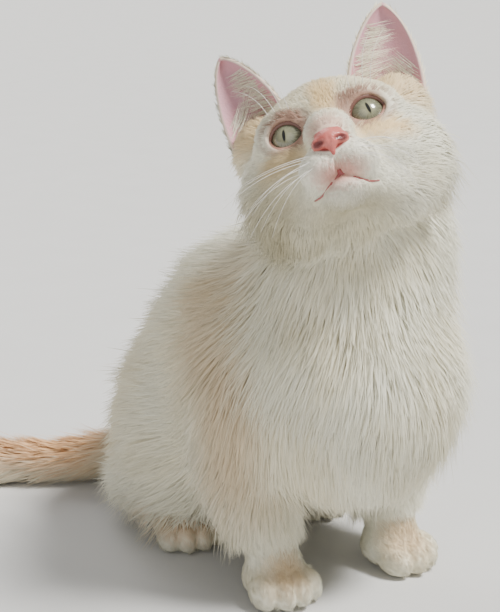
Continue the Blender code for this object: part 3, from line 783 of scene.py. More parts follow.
def nose_finish():
    """Salmon leather with a fine pebble, with painted shade in the nostrils."""
    finish = Finish("nose_leather", roughness=0.42, coat_weight=0.15)
    face, place = finish.attribute("face"), finish.place()
    pebbles = finish.node(
        "ShaderNodeTexVoronoi", {}, {"Vector": finish.vector("MULTIPLY", place, (1.7,) * 3), "Scale": 1.0},
        "Distance",
    )
    wander = finish.noise(place, 2.5)
    colour = finish.mixed(tint(196, 92, 86), tint(208, 122, 110), wander)
    colour = finish.mixed(colour, tint(178, 80, 76), ((finish.axis(face, 2) + 16) / -4).held() * 0.6)
    for side in SIDES.values():
        # Painted shade in each nostril
        hole = finish.spot(face, (side * 4.1, -18.3, -15.4), (2.1, 3.3, 1.15), 0.5)
        colour = finish.mixed(colour, tint(96, 34, 34), hole * 0.9)
    finish.feed("Base Color", colour)
    finish.bump(pebbles, 0.12)
    return finish.material


def lip_finish():
    finish = Finish("lip", roughness=0.38, coat_weight=0.2)
    grain = finish.noise(finish.place(), 1.2)
    finish.feed("Base Color", finish.mixed(tint(138, 62, 62), tint(176, 92, 88), grain))
    finish.bump(grain, 0.08)
    return finish.material


def ear_finish():
    """Pale pink and lilac in the cup, pinker near its base, furred cream behind."""
    finish = Finish("ear_skin", roughness=0.6)
    cup, inner = finish.attribute("cup"), finish.attribute("inner", "Fac")
    place = finish.place()
    across, up = finish.axis(cup, 0), finish.axis(cup, 1)
    grain = finish.noise(place, 0.9, 3.0)
    wander = finish.noise(place, 7.0)
    pink = finish.mixed(tint(204, 158, 172), tint(212, 150, 154), wander)
    pink = finish.mixed(pink, tint(212, 136, 132), ((0.5 - up) / 0.7).held() * 0.75)
    pink = finish.mixed(pink, tint(226, 204, 190), ((across * across - 0.9) / 0.1).held())
    pink = finish.scaled(pink, 0.94 + 0.1 * grain)
    finish.feed("Base Color", finish.mixed(tint(228, 208, 184), pink, inner))
    finish.bump(grain, 0.15)
    return finish.material


def whisker_finish():
    finish = Finish("whisker_hair", roughness=0.35)
    wander = finish.noise(finish.place(), 9)
    finish.feed("Base Color", finish.mixed(tint(248, 246, 240), tint(232, 226, 214), wander))
    return finish.material


# The skin


def make_skin(lattice):
    points, faces = lattice.surface()
    obj = softened(mesh_of("skin", points, faces, skin_finish()))
    places = points_of(obj.data)
    set_attribute(obj.data, "root", places)
    set_attribute(obj.data, "face", into(HEAD, places))
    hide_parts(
        "head", "neck", "torso", "foreleg_left", "foreleg_right", "hindleg_left", "hindleg_right",
        "tail_root", "tail_upper", "tail_lower", "tail_tip",
    )
    return obj


# The coat


def head_share(points):
    """1 on the head, falling to 0 down the neck."""
    away = np.linalg.norm((into(HEAD, points) - (0, 17, -5)) / (41, 47, 40), axis=1)
    return smooth(1.14, 0.94, away)


def paw_share(points):
    """1 on the feet, falling to 0 up the legs."""
    x, y, z = points.T
    fore_line = np.hypot(np.abs(x) - PAW_SPREAD, np.maximum(np.abs(y + 2) - 12, 0))
    fore = smooth(38, 20, z) * smooth(30, 22, fore_line)
    hind_line = np.hypot(np.abs(x) - 35, np.maximum(np.abs(y - 84) - 30, 0))
    hind = smooth(22, 14, z) * smooth(22, 16, hind_line)
    return np.maximum(fore, hind)


def tail_share(points):
    """1 along the tail, falling to 0 at its root."""
    x, y, z = points.T
    return smooth(128, 146, y - 0.35 * x) * smooth(52, 34, z)


def cheek_share(points):
    """1 on the fluff at the back of each cheek, falling to 0 round it."""
    place = into(HEAD, points)
    place[:, 0] = np.abs(place[:, 0])
    return smooth(20, 6, np.linalg.norm(place - (33, 25, -18), axis=1))


def hair_length(points):
    """Longest on the chest and trunk, shorter on tail, legs and ruff, and close on the face and paws."""
    x, y, z = points.T
    chest = smooth(26, 0, y) * smooth(30, 60, z)
    length = BODY_HAIR + (CHEST_HAIR - BODY_HAIR) * chest
    on_tail = TAIL_HAIR * (1 - 0.25 * smooth(-122, -148, x))
    length = length + (on_tail - length) * tail_share(points)
    legs = smooth(64, 34, z) * smooth(22, 6, y)
    length = length * (1 - 0.5 * legs)
    length = length + (PAW_HAIR - length) * paw_share(points)
    place = into(HEAD, points)
    from_nose = np.linalg.norm(place - (0, -17, -15), axis=1)
    face = FACE_HAIR + 0.105 * np.maximum(from_nose - 8, 0)
    ruff = smooth(8, 26, place[:, 1]) * smooth(14, -8, place[:, 2])
    throat = smooth(-28, -38, place[:, 2]) * smooth(4, 24, place[:, 1])
    face = face + RUFF_HAIR * np.maximum(ruff, throat) + CHEEK_HAIR * cheek_share(points)
    share = head_share(points)
    length = length + (face - length) * share
    from_mouth = np.linalg.norm(place - (0, -12, -23), axis=1)
    length = length + (MUZZLE_HAIR - length) * smooth(32, 20, from_mouth)
    return length + (FACE_HAIR - length) * smooth(15, 8, from_mouth)


def hair_width(length):
    return HAIR_WIDTH + WIDTH_GAIN * length


def body_lie(points):
    """Down the throat and chest, back and down over the ribs, along the tail."""
    x, y, _ = points.T
    back = smooth(-12, 58, y)[:, None]
    chest = np.stack([0.006 * x, np.full_like(x, -0.12), np.full_like(x, -1)], 1)
    flank = np.stack([0 * x, np.full_like(x, 0.9), -0.25 - 0.006 * np.maximum(0, y - 40)], 1)
    lie = chest * (1 - back) + flank * back
    share = tail_share(points)[:, None]
    steps = np.linspace(0, 1, 41)
    line = tail_line(steps)
    nearest = np.argmin(((points[:, None, :] - line[None]) ** 2).sum(2), 1)
    along = unit(tail_line(np.minimum(steps + 0.02, 1)) - tail_line(np.maximum(steps - 0.02, 0)))[nearest]
    feet = paw_share(points)[:, None]
    lie = unit(lie) * (1 - share) + along * share
    return lie * (1 - feet) + np.array((0, -0.75, -0.5)) * feet


def head_lie(points):
    """Away from the nose over the face, then back over the cheeks and down into the ruff."""
    place = into(HEAD, points)
    away = unit(place - (0, -19, -13))
    away[:, 1] += 0.35
    away = unit(away) @ np.array(HEAD.to_3x3()).T
    ruff = (smooth(10, 30, place[:, 1]) * smooth(14, -10, place[:, 2]))[:, None]
    return unit(away + np.array((0, 0.1, -0.9)) * ruff)


def swirl(points):
    """How far the lie wanders to either side from place to place, radians."""
    x, y, z = (points / 19).T
    broad = 0.34 * np.sin(1.1 * x + 0.7 * y + 0.4) * np.cos(0.9 * z - 0.5 * y)
    return broad + 0.2 * np.sin(2.3 * z + 1.7 * x)


def lie_of(points):
    share = head_share(points)[:, None]
    return unit(head_lie(points) * share + body_lie(points) * (1 - share))


def laid(ways, normals):
    """Directions laid flat on the surface that has those normals."""
    return unit(ways - normals * (ways * normals).sum(1, keepdims=True))


def strand_paths(lattice, roots, length, lift, rng):
    """Points of each strand, bent along the lie and lifted off the skin, and the normals there."""
    normal = lattice.slope(roots)
    ahead = laid(lie_of(roots) + rng.normal(0, 0.14, roots.shape), normal)
    turn = swirl(roots)[:, None]
    ahead = ahead * np.cos(turn) + np.cross(normal, ahead) * np.sin(turn)
    point = roots - normal * SUNK
    path, normals = [point], [normal]
    step = (length / RINGS)[:, None]
    for ring in range(1, RINGS + 1):
        point = point + ahead * step
        height = lattice.at(point)
        normal = lattice.slope(point)
        wanted = lift * (ring / RINGS) ** 1.3
        wanted = np.where(height > wanted, height - 0.4 * (height - wanted), wanted)
        point = point + normal * (wanted - height)[:, None]
        point[:, 2] = np.maximum(point[:, 2], GROUND + PATH_GAP)
        path.append(point)
        normals.append(normal)
        ahead = unit(ahead + 0.8 * laid(lie_of(point), normal))
    return np.stack(path, 1), np.stack(normals, 1)


def gathered(paths, lean, every):
    """The strands leaning towards the nearest of some guides, so that their tips come together."""
    guides = paths[::every]
    tree = KDTree(len(guides))
    for index, root in enumerate(guides[:, 0]):
        tree.insert(Vector(root), index)
    tree.balance()
    nearest = np.array([tree.find(Vector(root))[1] for root in paths[:, 0]])
    reach = np.linspace(0, 1, paths.shape[1]) ** 1.2
    return paths + (guides[nearest] - paths) * (lean * reach)[None, :, None]


def strand_faces(rings):
    """Faces of one strand: its closed root, the lengths between its rings of three, and its tip."""
    faces = [(0, 2, 1)]
    for ring, edge in itertools.product(range(rings), range(3)):
        a, b = 3 * ring + edge, 3 * ring + (edge + 1) % 3
        if ring < rings - 1:
            faces += [(a, b, b + 3), (a, b + 3, a + 3)]
        else:
            faces.append((a, b, 3 * rings))
    return np.array(faces)


def strand_mesh(name, paths, normals, width, finish, unwrapped, shade, taper):
    """Closed tapered strands, flat towards the skin with a low ridge, as one piece.

    Their upper faces are shaded with the skin's normals, turned over from edge to edge, and their undersides
    towards the tip.
    """
    count, rings = paths.shape[0], paths.shape[1] - 1
    tangent = np.empty_like(paths)
    tangent[:, 0] = paths[:, 1] - paths[:, 0]
    tangent[:, 1:-1] = paths[:, 2:] - paths[:, :-2]
    tangent[:, -1] = paths[:, -1] - paths[:, -2]
    across = unit(np.cross(unit(tangent), normals))
    up = unit(np.cross(across, unit(tangent)))
    half = (width[:, None] / 2 * np.array(taper)[None])[..., None]
    low, top, high = paths - across * half, paths + up * half * 0.7, paths + across * half
    ring_points = np.stack([low, top, high], 2)[:, :rings].reshape(count, -1, 3)
    points = np.concatenate([ring_points, paths[:, -1:]], 1)
    shine = np.stack([normals - ROUND * across, normals, normals + ROUND * across], 2)[:, :rings]
    shine = unit(np.concatenate([shine.reshape(count, -1, 3), normals[:, -1:]], 1))
    below = unit(unit(tangent) - 0.6 * up)
    below = np.concatenate([np.repeat(below[:, :rings], 3, 1), below[:, -1:]], 1)
    pattern = strand_faces(rings)
    under = (pattern % 3 != 1).all(1)
    shine = np.where(under[None, :, None, None], below[:, pattern], shine[:, pattern]).reshape(-1, 3)
    faces = pattern[None] + (3 * rings + 1) * np.arange(count)[:, None, None]
    along = np.concatenate([np.repeat(np.arange(rings) / rings, 3), [1]])
    side = np.concatenate([np.tile([-0.5, 0, 0.5], rings), [0]])
    roots = np.repeat(paths[:, 0], len(along), 0)
    points, faces = points.reshape(-1, 3), faces.reshape(-1, 3)
    points[:, 2] = np.maximum(points[:, 2], GROUND + HAIR_GAP)
    obj = mesh_of(name, points, faces, finish, {
        "root": roots, "face": into(HEAD, roots),
        "along": np.tile(along, count), "shade": np.repeat(shade, len(along)),
    })
    obj.data.normals_split_custom_set(shine.tolist())
    patch = unwrapped[:, None] + PATCH * np.stack([side, along - 0.5], 1)[None]
    sheet = obj.data.uv_layers.new(name="OFBake")
    sheet.data.foreach_set("uv", patch.reshape(-1, 2)[faces.ravel()].astype(np.float32).ravel())
    return obj


def unwrap(points, part):
    """Each root's place on the skin opened out: round the head, along the tail, or round the trunk."""
    if part == "head":
        place = into(HEAD, points) - (0, 22, -6)
        turn, rise = np.arctan2(place[:, 0], -place[:, 1]), np.arcsin(unit(place)[:, 2])
        return np.stack([turn / math.tau, rise / math.pi], 1) * 0.96 + 0.5
    if part == "tail":
        steps = np.linspace(0, 1, 61)
        away = points[:, None] - tail_line(steps)[None]
        nearest = np.argmin((away**2).sum(2), 1)
        gap = away[np.arange(len(points)), nearest]
        return np.stack([steps[nearest], np.arctan2(gap[:, 2], gap[:, 1]) / math.tau + 0.5], 1) * 0.96 + 0.02
    turn = np.arctan2(points[:, 0], 45 - points[:, 1]) / math.tau + 0.5
    return np.stack([turn, points[:, 2] / 230], 1) * 0.96 + 0.02


def part_of(points):
    """The name of the coat piece that each root belongs to."""
    x, y, z = points.T
    place = into(HEAD, points)
    names = np.full(len(points), "flank", object)
    names[y < 22] = "chest"
    names[(z > 118) | ((place[:, 1] > -20) & (z > 112))] = "neck"
    names[(np.abs(x) < 26) & (y > 40) & (z > 60)] = "back"
    names[(z < 48) & (y < 30)] = "foreleg"
    names[(z < 26) & (y >= 30)] = "hindleg"
    names[tail_share(points) > 0.5] = "tail"
    on_head = head_share(points) > 0.5
    names[on_head] = "crown"
    names[on_head & (place[:, 1] < 16)] = "face"
    side = np.where(np.where(on_head, place[:, 0], x) > 0, "left", "right")
    return np.array([f"coat_{name}_{way}" for name, way in zip(names, side)], object)


def along_path(path, count):
    """Points spaced along a path."""
    steps = np.linspace(0, len(path) - 1, count)
    first = np.minimum(steps.astype(int), len(path) - 2)
    return path[first] + (path[first + 1] - path[first]) * (steps - first)[:, None]


def bare(points, lip_lines):
    """Where no hair grows: eyes, nose, lips and soles."""
    place = into(HEAD, points)
    gone = points[:, 2] < GROUND + 1.5
    for pose in EYES.values():
        local = into(pose, points)
        slit = (local[:, 0] / (SLIT_WIDTH / 2 + 0.5)) ** 2 + (local[:, 2] / (SLIT_HEIGHT / 2 + 0.3)) ** 2
        gone |= (slit < 1) & (local[:, 1] < 0)
    nose = (place - (0, -17, -14.3)) / (5.9, 7, 4.2)
    gone |= (nose**2).sum(1) < 1
    lips = (place - (0, -13, -27.4)) / (3.4, 6, 1.8)
    gone |= (lips**2).sum(1) < 1
    muzzle = np.flatnonzero(np.linalg.norm(place - (0, -10, -25), axis=1) < 18)
    away = np.linalg.norm(points[muzzle][:, None] - lip_lines[None], axis=2).min(1)
    gone[muzzle] |= away < LIP_WIDTH
    return gone


def slot_of(name):
    """The material slot for a coat piece."""
    kind = name.split("_")[1]
    return {"crown": "head_coat", "face": "head_coat", "tail": "tail_coat"}.get(
        kind, "leg_coat" if "leg" in kind else "body_coat"
    )


def scattered(points, corners, weight, count, rng):
    """Roots spread over triangles in proportion to their area and weight."""
    a, b, c = (points[corners[:, i]] for i in range(3))
    area = np.linalg.norm(np.cross(b - a, c - a), axis=1) / 2
    share = np.cumsum(area * weight)
    picks = (np.arange(count) + rng.random(count)) / count * share[-1]
    chosen = np.minimum(np.searchsorted(share, picks), len(corners) - 1)
    u, v = rng.random((2, count))
    over = u + v > 1
    u, v = np.where(over, 1 - u, u)[:, None], np.where(over, 1 - v, v)[:, None]
    return a[chosen] + (b - a)[chosen] * u + (c - a)[chosen] * v


def grow(lattice, suffix, roots, length, width, lift, leans, taper, finish, rng):
    """One layer of strands, as a piece for each part of the body.

    Each pair in leans is a share of the way that tips lean to a guide, and how many strands share one.
    """
    paths, normals = strand_paths(lattice, roots, length, lift, rng)
    for lean, every in leans:
        paths = gathered(paths, lean, every)
    paths[:, 1:] += rng.normal(0, 0.02, paths[:, 1:].shape) * length[:, None, None]
    names, shade = part_of(roots), rng.random(len(roots))
    for name in sorted(set(names)):
        mine = names == name
        part = "head" if "crown" in name or "face" in name else "tail" if "tail" in name else "trunk"
        piece = strand_mesh(
            name + suffix, paths[mine], normals[mine], width[mine], finish, unwrap(roots[mine], part),
            shade[mine], taper,
        )
        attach(piece, "root")
        slot_of(name)


def make_coat(lattice, skin, rng):
    """A close layer of short broad tufts, and over it the fine strands."""
    finish = strand_finish()
    lip_lines = np.concatenate([along_path(mouth_path(lattice, side), 40) for side in SIDES.values()])
    points, corners = points_of(skin.data), triangles_of(skin.data)
    middles = points[corners].mean(1)
    length = hair_length(middles)
    # Long hair covers more of the skin, so its roots stand wider apart
    weight = (length * hair_width(length)) ** -0.55 * (1 - 0.5 * paw_share(middles))
    weight[bare(middles, lip_lines)] = 0
    woolly = np.where(length > LONG_HAIR, weight, 0)
    roots = scattered(points, corners, woolly, TUFTS, rng)
    size = hair_length(roots) * rng.uniform(*TUFT_LENGTHS, len(roots))
    width, lift = 0.09 * size + 0.6, TUFT_LIFT * size
    grow(lattice, "_wool", roots, size, width, lift, [(0.2, 9)], (0.9, 0.8, 0), finish, rng)
    roots = scattered(points, corners, weight, STRANDS, rng)
    roots = roots[~bare(roots, lip_lines)]
    length = hair_length(roots) * rng.uniform(*STRAND_LENGTHS, len(roots))
    width = hair_width(length) * rng.uniform(0.8, 1.2, len(roots))
    lift = LIFT * length * rng.uniform(0.5, 1.15, len(roots)) * (0.55 + 0.45 * smooth(3, 10, length))
    lift *= 1 + 0.6 * cheek_share(roots)
    lift[rng.random(len(roots)) < STRAYS] *= STRAY_LIFT
    fine = length <= LONG_HAIR
    layers = [
        ("", ~fine, [(0.22, 110), (0.14, 9)], (0.8, 0.95, 0)),
        ("_short", fine, [(0.5, 15)], (0.8, 0.85, 0)),
    ]
    for suffix, chosen, leans, taper in layers:
        sizes = (values[chosen] for values in (roots, length, width, lift))
        grow(lattice, suffix, *sizes, leans, taper, finish, rng)


# Tubes that follow paths


def tube_tree():
    """Tubes along the edges of a mesh, tapered from root to tip."""
    tree = bpy.data.node_groups.new("Tubes", "GeometryNodeTree")
    face = tree.interface
    face.new_socket("Geometry", in_out="INPUT", socket_type="NodeSocketGeometry")
    kinds = {"Thickness": "Float", "Tip Share": "Float", "Sides": "Int", "Finish": "Material"}
    for name, kind in kinds.items():
        face.new_socket(name, in_out="INPUT", socket_type=f"NodeSocket{kind}")
    face.new_socket("Geometry", in_out="OUTPUT", socket_type="NodeSocketGeometry")
    nodes, link = tree.nodes, tree.links.new

    def add(kind, links=None, **settings):
        made = nodes.new(kind)
        for key, value in settings.items():
            setattr(made, key, value)
        for key, socket in (links or {}).items():
            link(socket, made.inputs[key])
        return made

    given, result = add("NodeGroupInput").outputs, add("NodeGroupOutput")
    curve = add("GeometryNodeMeshToCurve", {0: given["Geometry"]})
    share = add("GeometryNodeSplineParameter")
    fall = add("ShaderNodeMapRange", {"Value": share.outputs["Factor"], "To Max": given["Tip Share"]})
    fall.inputs["To Min"].default_value = 1
    radius = add("ShaderNodeMath", {0: fall.outputs[0], 1: given["Thickness"]}, operation="MULTIPLY")
    ring = add("GeometryNodeCurvePrimitiveCircle", {"Resolution": given["Sides"]})
    ring.inputs["Radius"].default_value = 0.5
    follow = {"Curve": curve.outputs[0], "Scale": radius.outputs[0], "Profile Curve": ring.outputs[0]}
    tube = add("GeometryNodeCurveToMesh", follow)
    tube.inputs["Fill Caps"].default_value = True
    real = add("GeometryNodeRealizeInstances", {0: tube.outputs[0]})
    dressed = add("GeometryNodeSetMaterial", {"Geometry": real.outputs[0], "Material": given["Finish"]})
    link(dressed.outputs[0], result.inputs[0])
    return tree


def tubes(name, paths, thickness, tip_share, sides, finish, closed=False):
    """Round tubes through each path's points, which are in plan, as one piece."""
    points = np.concatenate(paths)
    edges, start = [], 0
    for path in paths:
        count = len(path)
        edges += [(start + i, start + (i + 1) % count) for i in range(count if closed else count - 1)]
        start += count
    mesh = bpy.data.meshes.new(name)
    mesh.from_pydata(to_frame(points).tolist(), edges, [])
    obj = placed(name, mesh)
    grow = obj.modifiers.new("Tubes", "NODES")
    grow.node_group = TUBES
    values = {"Thickness": thickness * MM, "Tip Share": tip_share, "Sides": sides, "Finish": finish}
    for item in TUBES.interface.items_tree:
        if item.in_out == "INPUT" and item.name in values:
            grow[item.identifier] = values[item.name]
    baked(obj)
    obj.data.shade_smooth()
    return obj


def arc(start, bend, end, steps=12):
    """Points of a smooth arc that leaves start towards bend and comes to end."""
    t = np.linspace(0, 1, steps)[:, None]
    return (1 - t) ** 2 * np.array(start) + 2 * t * (1 - t) * np.array(bend) + t**2 * np.array(end)


# Eyes, nose, mouth, ears and whiskers


def make_eye(name, finish):
    """The eyeball with the swell of its clear front, in rows of faces round the line of sight."""
    columns, rows = 56, 36
    turn = np.linspace(0, math.tau, columns, endpoint=False)
    fall = np.linspace(0, math.pi, rows + 1)[1:-1]
    fall, turn = (grid.ravel() for grid in np.meshgrid(fall, turn, indexing="ij"))
    points = np.stack([np.sin(fall) * np.cos(turn), -np.cos(fall), np.sin(fall) * np.sin(turn)], 1)
    points = np.concatenate([[(0, -1, 0)], points, [(0, 1, 0)]])
    swell = smooth(0.80, 1.0, -points[:, 1])
    points = points * (EYE_RADIUS + 0.5 * swell)[:, None]
    faces, last = [], len(points) - 1
    for row, column in itertools.product(range(rows - 2), range(columns)):
        a, b = 1 + row * columns + column, 1 + row * columns + (column + 1) % columns
        faces += [(a, b, b + columns), (a, b + columns, a + columns)]
    for column in range(columns):
        after = (column + 1) % columns
        faces.append((0, 1 + after, 1 + column))
        faces.append((last, last - columns + column, last - columns + after))
    eye = mesh_of(f"eyeball_{name}", out_of(EYES[name], points), np.array(faces), finish, {"gaze": points})
    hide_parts(f"eye_{name}")
    return eye


def make_lids(name, finish):
    """The bare rim round the opening, as one closed tube on the lids."""
    turn = np.linspace(0, math.tau, 48, endpoint=False)
    across = SLIT_WIDTH / 2 * np.cos(turn)
    height = SLIT_HEIGHT / 2 * np.sign(np.sin(turn)) * np.abs(np.sin(turn)) ** SLIT_POWER
    radius = EYE_RADIUS + 0.55
    path = np.stack([across, -np.sqrt(radius**2 - across**2 - height**2), height], 1)
    lids = tubes(f"lids_{name}", [out_of(EYES[name], path)], 1.9, 1, 8, finish, closed=True)
    set_attribute(lids.data, "gaze", into(EYES[name], points_of(lids.data)))
    return lids


def make_nose(finish):
    """The bare nose with its wings, its strip down to the lip and its comma nostrils."""
    middle = out_of(HEAD, (0, -16, -15))
    axes = [np.arange(part - 11, part + 11, 0.4) for part in middle]
    lattice = Lattice(axes)
    lattice.add([ball((0, -14.4, -11.6), (5.1, 3.5, 2.7), pose=HEAD)], 2)
    lattice.add([ball((0, -17.3, -14.4), (4.0, 2.9, 3.2), pose=HEAD)], 2)
    lattice.add(limb([(0, -17.6, -16.3), (0, -16.9, -19.6)], (1.6, 0.7), HEAD), 1.4)
    for side in SIDES.values():
        lattice.add([ball((side * 4.0, -15.3, -14.6), (2.6, 3.2, 2.5), (0, side * 20, 0), HEAD)], 1.2)
    for side in SIDES.values():
        nostril = [(side * 2.7, -19.6, -15.5), (side * 3.9, -18.9, -15.1), (side * 5.0, -18.2, -15.4)]
        lattice.carve(limb(nostril, (0.95, 0.8, 0.5), HEAD), 0.5)
    groove = [(0, -20.9, -13.5), (0, -19.8, -17.5), (0, -18.3, -21.5)]
    lattice.carve(limb(groove, (0.5, 0.55, 0.4), HEAD), 0.5)
    points, faces = lattice.surface()
    nose = softened(mesh_of("nose_leather", points, faces, finish))
    set_attribute(nose.data, "face", into(HEAD, points_of(nose.data)))
    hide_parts("nose")
    return nose


def make_mouth(lattice, finish):
    """The dark pink line of the lips."""
    paths = [along_path(mouth_path(lattice, side)[1:], 16) for side in SIDES.values()]
    return tubes("lip_line", paths, 1.5, 0.35, 8, finish)


EAR_INNER, EAR_OUTER, EAR_TIP = (12.5, 22, 21), (36, 31, 6), (32, 25, 49)


def ear_sheet(side, s, t):
    """Points of the ear's wall: s runs from -1 at its inner edge to 1 at its outer, t from base to tip."""
    inner, outer, tip = (np.array(point, float) for point in (EAR_INNER, EAR_OUTER, EAR_TIP))
    inner[0] -= 1.5 * side
    base, across = (inner + outer) / 2, (outer - inner) / 2
    rise = tip - base
    back = unit(np.cross(across, rise))
    back = back if back[1] > 0 else -back
    shape = np.where(s > 0, 2.4, 1.5)
    round_off = np.where(s > 0, 0.58, 0.72)
    width = np.where(t > 0, np.maximum(1 - np.maximum(t, 0) ** shape, 0) ** round_off, 1 + t)
    cup = EAR_CUP * (1 - s * s) * np.minimum(1, 1 - t) ** 0.7
    lean = 3 * t * (1 - t) + 1.5 * (1 - s * s) * t
    points = base + rise * t[:, None] + across * (s * width)[:, None] + back * (cup + lean)[:, None]
    return out_of(HEAD, points * (side, 1, 1))


def ear_normals(side, s, t, step=0.01):
    """The ways out of the ear's back, up to its tip and over to its outer edge."""
    up = ear_sheet(side, s, np.minimum(t + step, 0.995)) - ear_sheet(side, s, t - step)
    over = ear_sheet(side, np.minimum(s + step, 1), t) - ear_sheet(side, np.maximum(s - step, -1), t)
    out = unit(np.cross(over, up)) * side
    return -out, unit(up), unit(over)


def make_ear(name, side, finish):
    """A thin cup, hollow towards the front."""
    columns, rows = 37, 43
    s, t = np.meshgrid(np.linspace(-1, 1, columns), 1 - 1.15 * np.linspace(0, 1, rows) ** 1.5, indexing="xy")
    s, t = s.ravel(), t.ravel()
    points = ear_sheet(side, s, t)
    faces = []
    for row, column in itertools.product(range(rows - 1), range(columns - 1)):
        a = row * columns + column
        if row:
            faces.append((a, a + 1, a + columns + 1))
        faces.append((a, a + columns + 1, a + columns))
    points[:columns] = points[0]
    faces = np.array(faces)[:, ::side]
    faces[faces < columns] = 0
    ear = mesh_of(f"ear_cup_{name}", points, faces, finish, {"cup": np.stack([s, t, 0 * s], 1)})
    weld = ear.modifiers.new("Weld", "WELD")
    weld.merge_threshold = 0.00002
    wall = ear.modifiers.new("Wall", "SOLIDIFY")
    wall.thickness = EAR_WALL * MM
    wall.offset = 0
    baked(ear)
    out, _, _ = ear_normals(side, *np.array([d.vector[:2] for d in ear.data.attributes["cup"].data]).T)
    normals = np.array([vert.normal for vert in ear.data.vertices])
    set_attribute(ear.data, "inner", ((normals * out).sum(1) < 0.1).astype(float))
    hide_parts(f"ear_{name}")
    return ear


def simple_paths(roots, ways, normals, length, lift, rings):
    """Strands that leave a thin wall along given ways and bend up along its normals."""
    path = [roots - normals * 0.3]
    for ring in range(1, rings + 1):
        share = ring / rings
        path.append(roots + ways * (length * share)[:, None] + normals * (lift * share**1.4)[:, None])
    return np.stack(path, 1), np.repeat(normals[:, None], rings + 1, 1)


def make_ear_coat(name, side, finish, rng):
    """Short hair on the ear's back and rim, and long fine hairs that cross the cup from its edges."""
    count = EAR_HAIRS
    s, t = rng.uniform(-1, 1, count), 1 - 1.05 * rng.random(count) ** 0.62
    out, up, over = ear_normals(side, s, t)
    roots = ear_sheet(side, s, t) + out * EAR_WALL / 2
    edge = np.abs(s) ** 6
    ways = unit(up + over * (s * edge * 0.4)[:, None] + rng.normal(0, 0.1, up.shape))
    length = rng.uniform(2.2, 3.6, count)
    paths, normals = simple_paths(roots, ways, out, length, 0.16 * length, 2)
    width = rng.uniform(0.3, 0.44, count)
    ear_piece(f"ear_coat_{name}", paths, normals, width, finish, (s, t), rng, (0.8, 0.9, 0))

    count = CUP_HAIRS
    inner = rng.random(count) < 0.62
    s = np.where(inner, rng.uniform(-0.98, -0.55, count), rng.uniform(0.5, 0.97, count))
    t = np.where(inner, rng.uniform(-0.02, 0.72, count), rng.uniform(0.0, 0.45, count))
    out, up, over = ear_normals(side, s, t)
    roots = ear_sheet(side, s, t) - out * EAR_WALL / 2
    inward = over * np.where(inner, 1, -1)[:, None]
    ways = unit(inward * 0.9 + up * 0.75 - out * 0.25 + rng.normal(0, 0.13, up.shape))
    length = rng.uniform(8, 15, count) * (1.1 - 0.5 * np.clip(t, 0, 1))
    paths, normals = simple_paths(roots, ways, -out, length, 0.22 * length, 3)
    width = rng.uniform(0.16, 0.26, count)
    ear_piece(f"ear_tufts_{name}", paths, normals, width, finish, (s, t), rng, (1, 0.8, 0.5, 0))


def ear_piece(name, paths, normals, width, finish, places, rng, taper):
    """Strands on the ear as one piece, unwrapped by their places on its sheet."""
    flat = np.stack(places, 1) / 2 * 0.9 + 0.5
    piece = strand_mesh(name, paths, normals, width, finish, flat, rng.random(len(paths)), taper)
    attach(piece, "root")


def make_whiskers(lattice, name, side, finish, rng):
    """Long pale arcs from the pads, in rows, and a few over each eye."""
    paths = []
    for row, count in enumerate((3, 4, 3)):
        for place in range(count):
            across, height = 6.5 + 2.1 * place, -17.6 - 2.1 * row - 0.25 * place
            head_root = into(HEAD, on_face(lattice, side * across, height))
            reach = rng.uniform(24, 32) - 2 * row
            bend = head_root + (side * reach * 0.5, -1, 1 - 2 * row)
            out, back = (1.0, 0.1 + 0.12 * row) if side < 0 else (0.6, 0.85)  # the left ones lie back
            end = head_root + (side * reach * out, reach * back, -4 - 6 * row + rng.uniform(-3, 3))
            paths.append(out_of(HEAD, arc(head_root + (0, 0.6, 0), bend, end)))
    for place in range(4):
        root = np.array((side * (11 + 2.4 * place), -1.5 + 1.6 * place, 11.5 - 0.5 * place))
        end = root + (side * (2 + 3 * place), 3 + rng.uniform(-2, 2), 17 + rng.uniform(-3, 3))
        bend = root + (side * 1.5, -5, 8)
        paths.append(out_of(HEAD, arc(root + (0, 3, -3), bend, end)))
    whiskers = tubes(f"whiskers_{name}", paths, 0.24, 0.25, 5, finish)
    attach(whiskers, "root")


# The stage


CAMERA_AIM, CAMERA_AWAY = (-20.3, 40.1, 109.0), 600.0
CAMERA_TURN, CAMERA_RISE = -32.0, 15.0
FOCAL_PIXELS, IMAGE_HEIGHT = 1500, 612
FLOOR_HALF = 15000
SKY, SKY_STRENGTH = (0.88, 0.89, 0.90, 1), 0.36
LIGHTS = [  # name, the way it comes from, strength, spread in degrees and colour
    ("key", (0.52, -0.62, 1.25), 6.4, 16, (1, 0.99, 0.96)),
    ("fill", (-1.0, -0.8, 0.7), 0.5, 50, (0.97, 0.99, 1)),
    ("rim", (0.1, 1.2, 0.9), 0.9, 30, (1, 0.99, 0.96)),
]


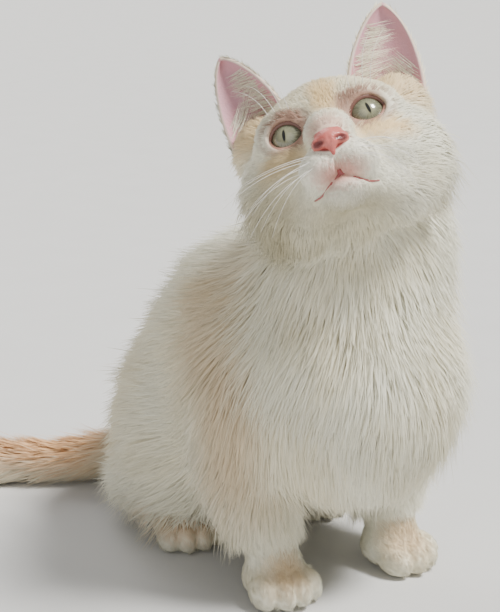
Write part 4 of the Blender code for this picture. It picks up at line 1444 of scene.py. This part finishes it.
def make_camera():
    """The camera, turned about the plan's upright and raised from the level."""
    turn, rise = math.radians(CAMERA_TURN), math.radians(CAMERA_RISE)
    back = Vector((math.sin(turn) * math.cos(rise), -math.cos(turn) * math.cos(rise), math.sin(rise)))
    camera = placed("camera", bpy.data.cameras.new("camera"))
    camera.location = Vector(to_frame(np.array(CAMERA_AIM))) + back * CAMERA_AWAY * MM
    camera.rotation_euler = (-back).to_track_quat("-Z", "Y").to_euler()
    camera.data.sensor_width = 36
    camera.data.lens = camera.data.sensor_width * FOCAL_PIXELS / IMAGE_HEIGHT
    camera.data.clip_start = 0.01
    bpy.context.scene.camera = camera


def add_light(name, place, strength, spread, colour):
    """A sun that shines from the way of a place, softened over some degrees."""
    light = bpy.data.lights.new(name, "SUN")
    light.energy, light.angle, light.color = strength, math.radians(spread), colour
    obj = placed(name, light)
    obj.location = place
    obj.rotation_euler = Vector(place).to_track_quat("Z", "Y").to_euler()


def make_stage():
    """A pale floor, the sky's even light and three suns."""
    finish = Finish("pale_floor", roughness=0.7)
    wander = finish.noise(finish.place(), 40)
    finish.feed("Base Color", finish.mixed(tint(206, 205, 203), tint(212, 211, 209), wander))
    corners = np.array([(-1, -1, 0), (1, -1, 0), (1, 1, 0), (-1, 1, 0)], float) * FLOOR_HALF
    corners[:, 2] = GROUND
    floor = mesh_of("floor", corners, np.array([(0, 1, 2, 3)]), finish.material)
    world = bpy.data.worlds.new("studio")
    bpy.context.scene.world = world
    world.use_nodes = True
    background = world.node_tree.nodes["Background"]
    background.inputs["Color"].default_value = SKY
    background.inputs["Strength"].default_value = SKY_STRENGTH
    for light in LIGHTS:
        add_light(*light)


# All of it

rng = np.random.default_rng(SEED)
TUBES = tube_tree()
make_camera()
make_stage()
lattice = make_lattice()
skin = make_skin(lattice)
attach(skin, "root")
make_coat(lattice, skin, rng)
hair, ear_skin, eyeball, lid, whisker = (
    bpy.data.materials["cream_hair"], ear_finish(), eye_finish(), lid_finish(), whisker_finish()
)
for name, side in SIDES.items():
    for piece, place in (
        (make_eye(name, eyeball), "eye"), (make_lids(name, lid), "head_coat"),
        (make_ear(name, side, ear_skin), "ear_skin"),
    ):
        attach(piece, "root")
    make_ear_coat(name, side, hair, rng)
    make_whiskers(lattice, name, side, whisker, rng)
for piece in (make_nose(nose_finish()), make_mouth(lattice, lip_finish())):
    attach(piece, "root")
